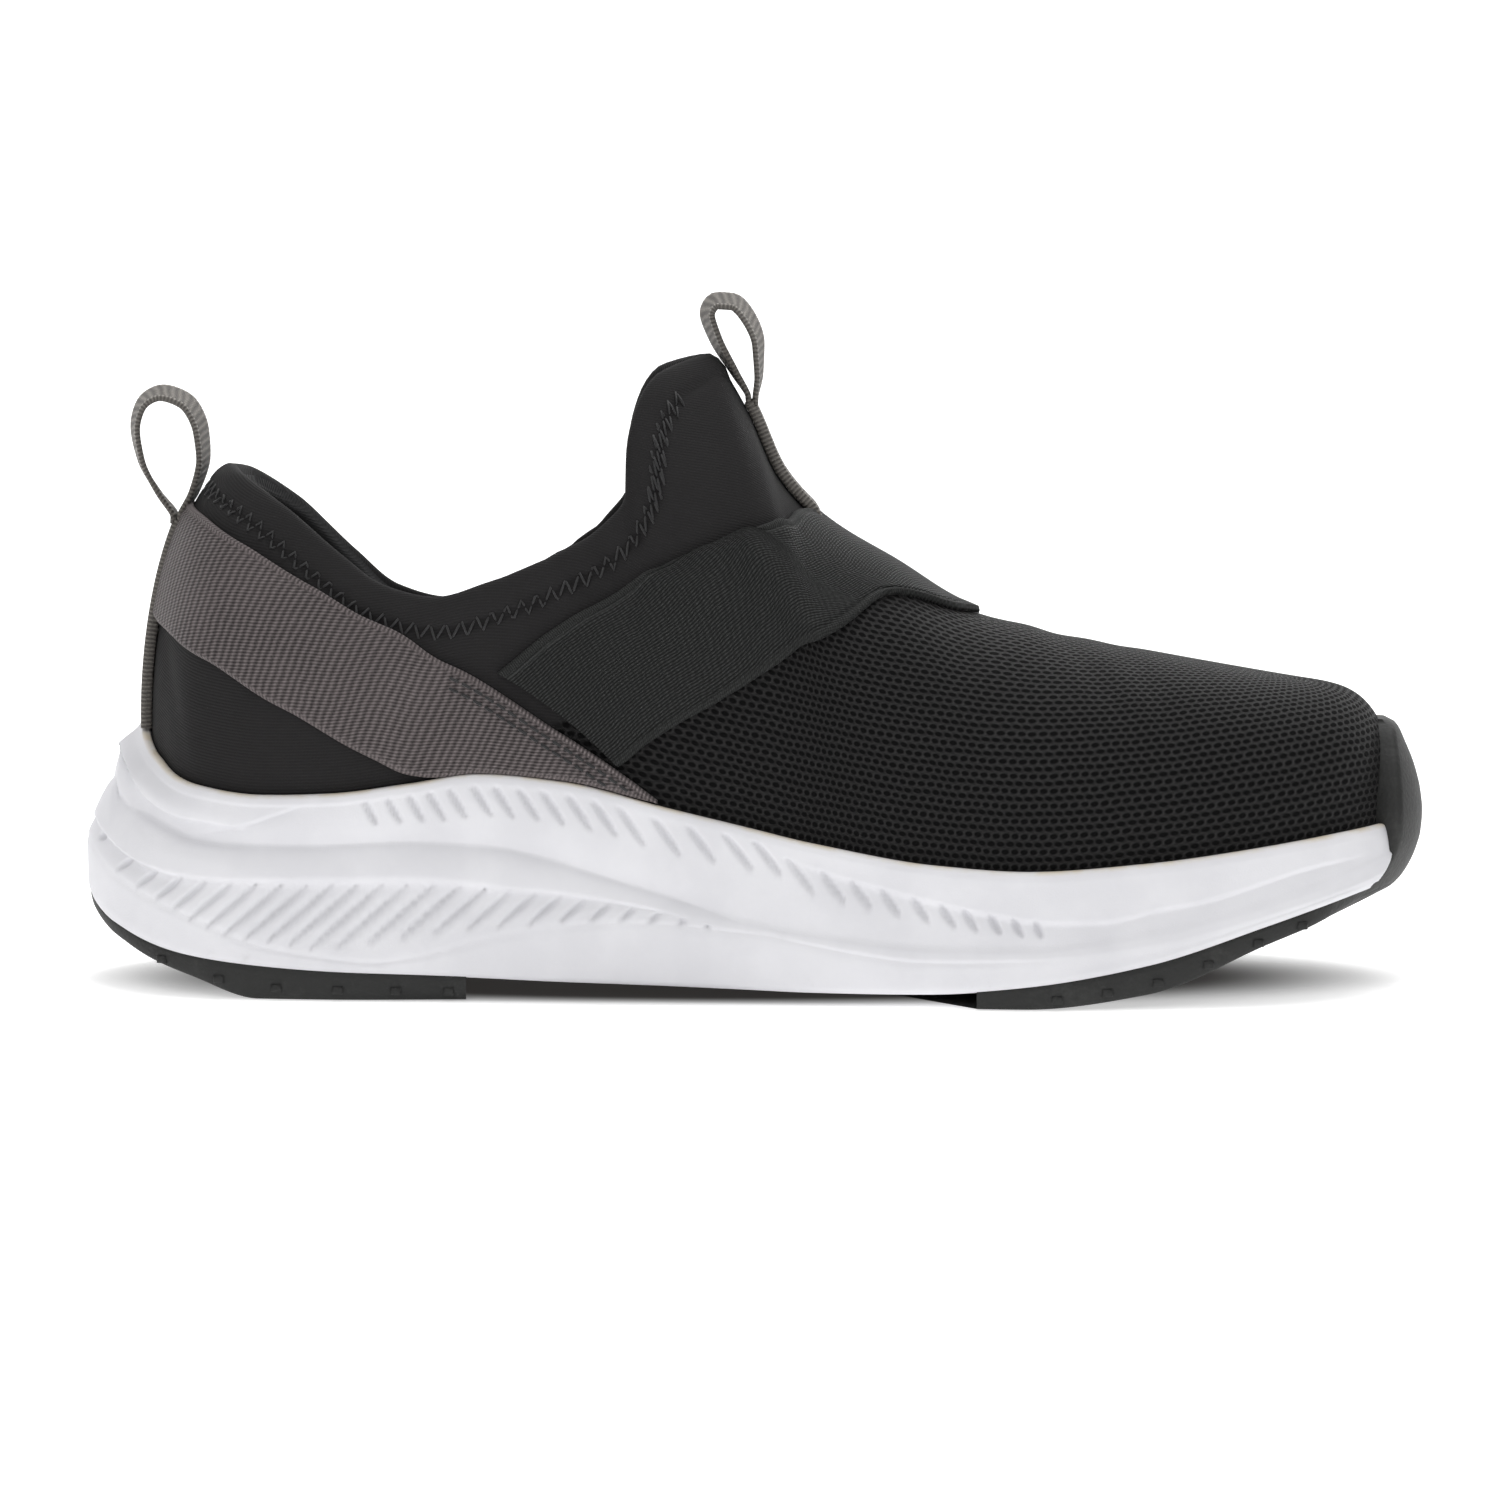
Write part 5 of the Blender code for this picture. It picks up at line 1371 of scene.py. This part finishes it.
@dataclass
class RubberPad:
    """One pad of the outsole: its side, its tread with flex grooves, and nubs along its edge.

    span is its stations, grooves the first and last groove as shares of the length and how
    many, nubs their places along, and spine where the tread's middle line lies, as pairs of
    edge place and middle place.
    """

    name: str
    node: str
    span: Pair
    grooves: tuple[float, float, int]
    nubs: tuple[float, ...]
    spine: tuple[Pair, ...]
    groove_depth: float = 1.6
    groove_width: float = 2.6

    def side_inset(self, t: np.ndarray, z: np.ndarray, plain: np.ndarray) -> np.ndarray:
        """Inset of the pad's side, running into the bumper's form at the toe."""
        toe = ease((FORM.fold(t) - 10.2) / 0.9)
        return plain * (1 - toe) + (read_line(ToeBumper().levels, z) - 0.05) * toe

    def make(self) -> None:
        """Build the pad as one closed mesh and dress it."""
        t = np.linspace(self.span[0], self.span[1], 520)
        ground = FORM.side("ground", t)
        top = FORM.side("bottom", t) + 0.5
        rings = [FORM.inset(t, 9.0, top)]
        for share, plain in PAD_PROFILE:
            z = ground + (top - ground) * share
            rings.append(FORM.inset(t, self.side_inset(t, z, plain + 0 * t), z))
        edge = rings[-1]
        middle = np.column_stack([np.interp(edge[:, 0], *zip(*self.spine)), 0 * t, 0 * t])
        for share in np.linspace(0.03, 1.0, 34):
            ring = edge * (1 - share) + middle * share
            along = np.clip(ring[:, 0] / FORM.length + 0.5, 0, 1)
            ring[:, 2] = side_height("ground", along)
            ring[:, 2] = np.maximum(ring[:, 2], edge[:, 2] * (1 - ease(share * 4)))
            cut = self.cut(ring[:, 0]) * ease((share - 0.10) / 0.08)
            cut = cut * ease(np.minimum(t - t[0], t[-1] - t) / 0.7 - 0.2)
            ring[:, 2] += self.groove_depth * cut
            rings.append(ring)
        last = rings[-1].copy()
        last[:, 2] += 2.0
        rings.append(last)
        piece = weave_grid(self.name, np.stack(rings, axis=1))
        place_piece(piece, RUBBER, Slot.RUBBER, self.node)
        self.make_nubs()

    def cut(self, x: np.ndarray) -> np.ndarray:
        """Where the flex grooves run, from 0 to 1."""
        first, last, count = self.grooves
        depth = 0 * x
        for k in range(count):
            place = (first + (last - first) * k / (count - 1) - 0.5) * FORM.length
            depth = np.maximum(depth, ease((self.groove_width / 2 - np.abs(x - place)) / 0.7 + 0.5))
        return depth

    def make_nubs(self) -> None:
        """Small rounded nubs along the pad's edge, on both sides, as one mesh."""
        fine = np.linspace(0.0, ROWS, 2000)
        along = FORM.inset(fine, 0.0, 0.0)[:, 0]
        points, faces = [], []
        for x in self.nubs:
            t0 = float(np.interp(x, along, fine))
            for t in (np.array([t0]), np.array([2 * ROWS - t0])):
                low, high = FORM.side("ground", t), FORM.side("bottom", t)
                middle = FORM.inset(t, 1.4, low * 0.62 + high * 0.38)[0]
                out = np.array([*FORM.outline(t)[1][0], 0.0])
                run = np.array([-out[1], out[0], 0.0])
                start = len(points)
                for reach, grow in ((-0.4, 1.0), (0.75, 0.92), (1.0, 0.6)):
                    for a, b in ((-1, -1), (1, -1), (1, 1), (-1, 1)):
                        points.append(middle + out * reach + run * a * 1.1 * grow
                                      + np.array([0, 0, 1.0]) * b * 0.8 * grow)
                for ring in (start, start + 4):
                    faces += [(ring + k, ring + (k + 1) % 4, ring + 4 + (k + 1) % 4, ring + 4 + k)
                              for k in range(4)]
                faces.append((start + 8, start + 9, start + 10, start + 11))
        nubs = solid(self.name + "_nubs", np.array(points), np.array(faces))
        place_piece(nubs, RUBBER, Slot.RUBBER)


def make_outsole() -> None:
    """Build both rubber pads and the toe bumper."""
    RubberPad("heel_pad", "outsole_heel", span=(-3.84, 3.84), grooves=(0.085, 0.241, 4),
              nubs=(-118.0, -106.0, -94.3, -82.0, -70.4, -60.0),
              spine=((-135.0, -104.0), (-56.6, -66.0))).make()
    RubberPad("forefoot_pad", "outsole_forefoot", span=(7.41, 2 * ROWS - 7.41),
              grooves=(0.589, 0.885, 7), nubs=(60.0, 70.0, 80.0, 90.0, 100.0, 109.0),
              spine=((44.0, 6.0), (70.0, 60.0), (135.0, 108.0))).make()
    ToeBumper().make()


LIGHTS = (
    # name, place, size, watts
    ("key", (-0.5, -1.2, 1.2), 1.0, 6.0),
    ("top", (0.15, 0.1, 1.5), 0.9, 11.5),
    ("back", (0.6, 1.0, 0.9), 0.8, 1.5),
)


@dataclass
class Stage:
    """Floor, soft light and the camera at the photo's angle."""

    distance: float = 1.3
    elevation: float = 6.5
    aim: tuple[float, float, float] = (-0.0003, 0.0, 0.0461)
    lens: float = 154.0
    sky_strength: float = 0.36

    def make(self) -> None:
        """Build the stage."""
        turn = np.linspace(0, math.pi / 2, 24)
        back = np.concatenate([[-4000.0], 900.0 + 600.0 * np.sin(turn), [1500.0]])
        rise = np.concatenate([[0.0], 600.0 * (1 - np.cos(turn)), [3000.0]]) - 0.05
        floor = weave_grid("floor", np.stack([np.stack([np.full(26, x), back, rise], axis=1)
                                              for x in (-3000.0, 3000.0)]))
        floor.data.flip_normals()
        floor.data.materials.append(FloorPaper().build())
        world = bpy.data.worlds.new("studio")
        world.use_nodes = True
        sky = world.node_tree.nodes["Background"]
        sky.inputs["Color"].default_value = (1.0, 1.0, 1.0, 1.0)
        sky.inputs["Strength"].default_value = self.sky_strength
        bpy.context.scene.world = world
        bpy.context.scene.view_settings.view_transform = "Standard"
        for light in LIGHTS:
            self.light(*light)
        data = bpy.data.cameras.new("camera")
        data.lens = self.lens
        data.sensor_width = 36.0
        camera = bpy.data.objects.new("camera", data)
        bpy.context.scene.collection.objects.link(camera)
        tilt = math.radians(self.elevation)
        camera.location = (self.aim[0], self.aim[1] - self.distance * math.cos(tilt),
                           self.aim[2] + self.distance * math.sin(tilt))
        camera.rotation_euler = (math.pi / 2 - tilt, 0.0, 0.0)
        bpy.context.scene.camera = camera

    def light(self, name: str, place: tuple[float, float, float], size: float,
              power: float) -> None:
        """Add one soft square light that looks at the shoe."""
        data = bpy.data.lights.new(name, "AREA")
        data.size = size
        data.energy = power
        thing = bpy.data.objects.new(name, data)
        bpy.context.scene.collection.objects.link(thing)
        thing.location = place
        aim = np.array([0.0, 0.0, 0.05]) - np.array(place)
        flat = math.hypot(aim[0], aim[1])
        turn = math.atan2(aim[1], aim[0]) - math.pi / 2
        thing.rotation_euler = (math.atan2(flat, -aim[2]), 0.0, turn)


def main() -> None:
    """Build every piece in order."""
    Stage().make()
    Midsole().make()
    Footbed().make()
    Sock().make()
    Overlays().make()
    make_loops()
    make_outsole()


RUBBER = Rubber().build()
BLACK_THREAD = Thread("black_thread", (0.006, 0.006, 0.0065), (0.022, 0.021, 0.022)).build()
LOOP_WEBBING = Webbing("loop_webbing", (0.055, 0.050, 0.046), (0.430, 0.400, 0.360)).build()

if __name__ == "__main__":
    logging.basicConfig(level=logging.INFO, format="%(message)s")
    main()
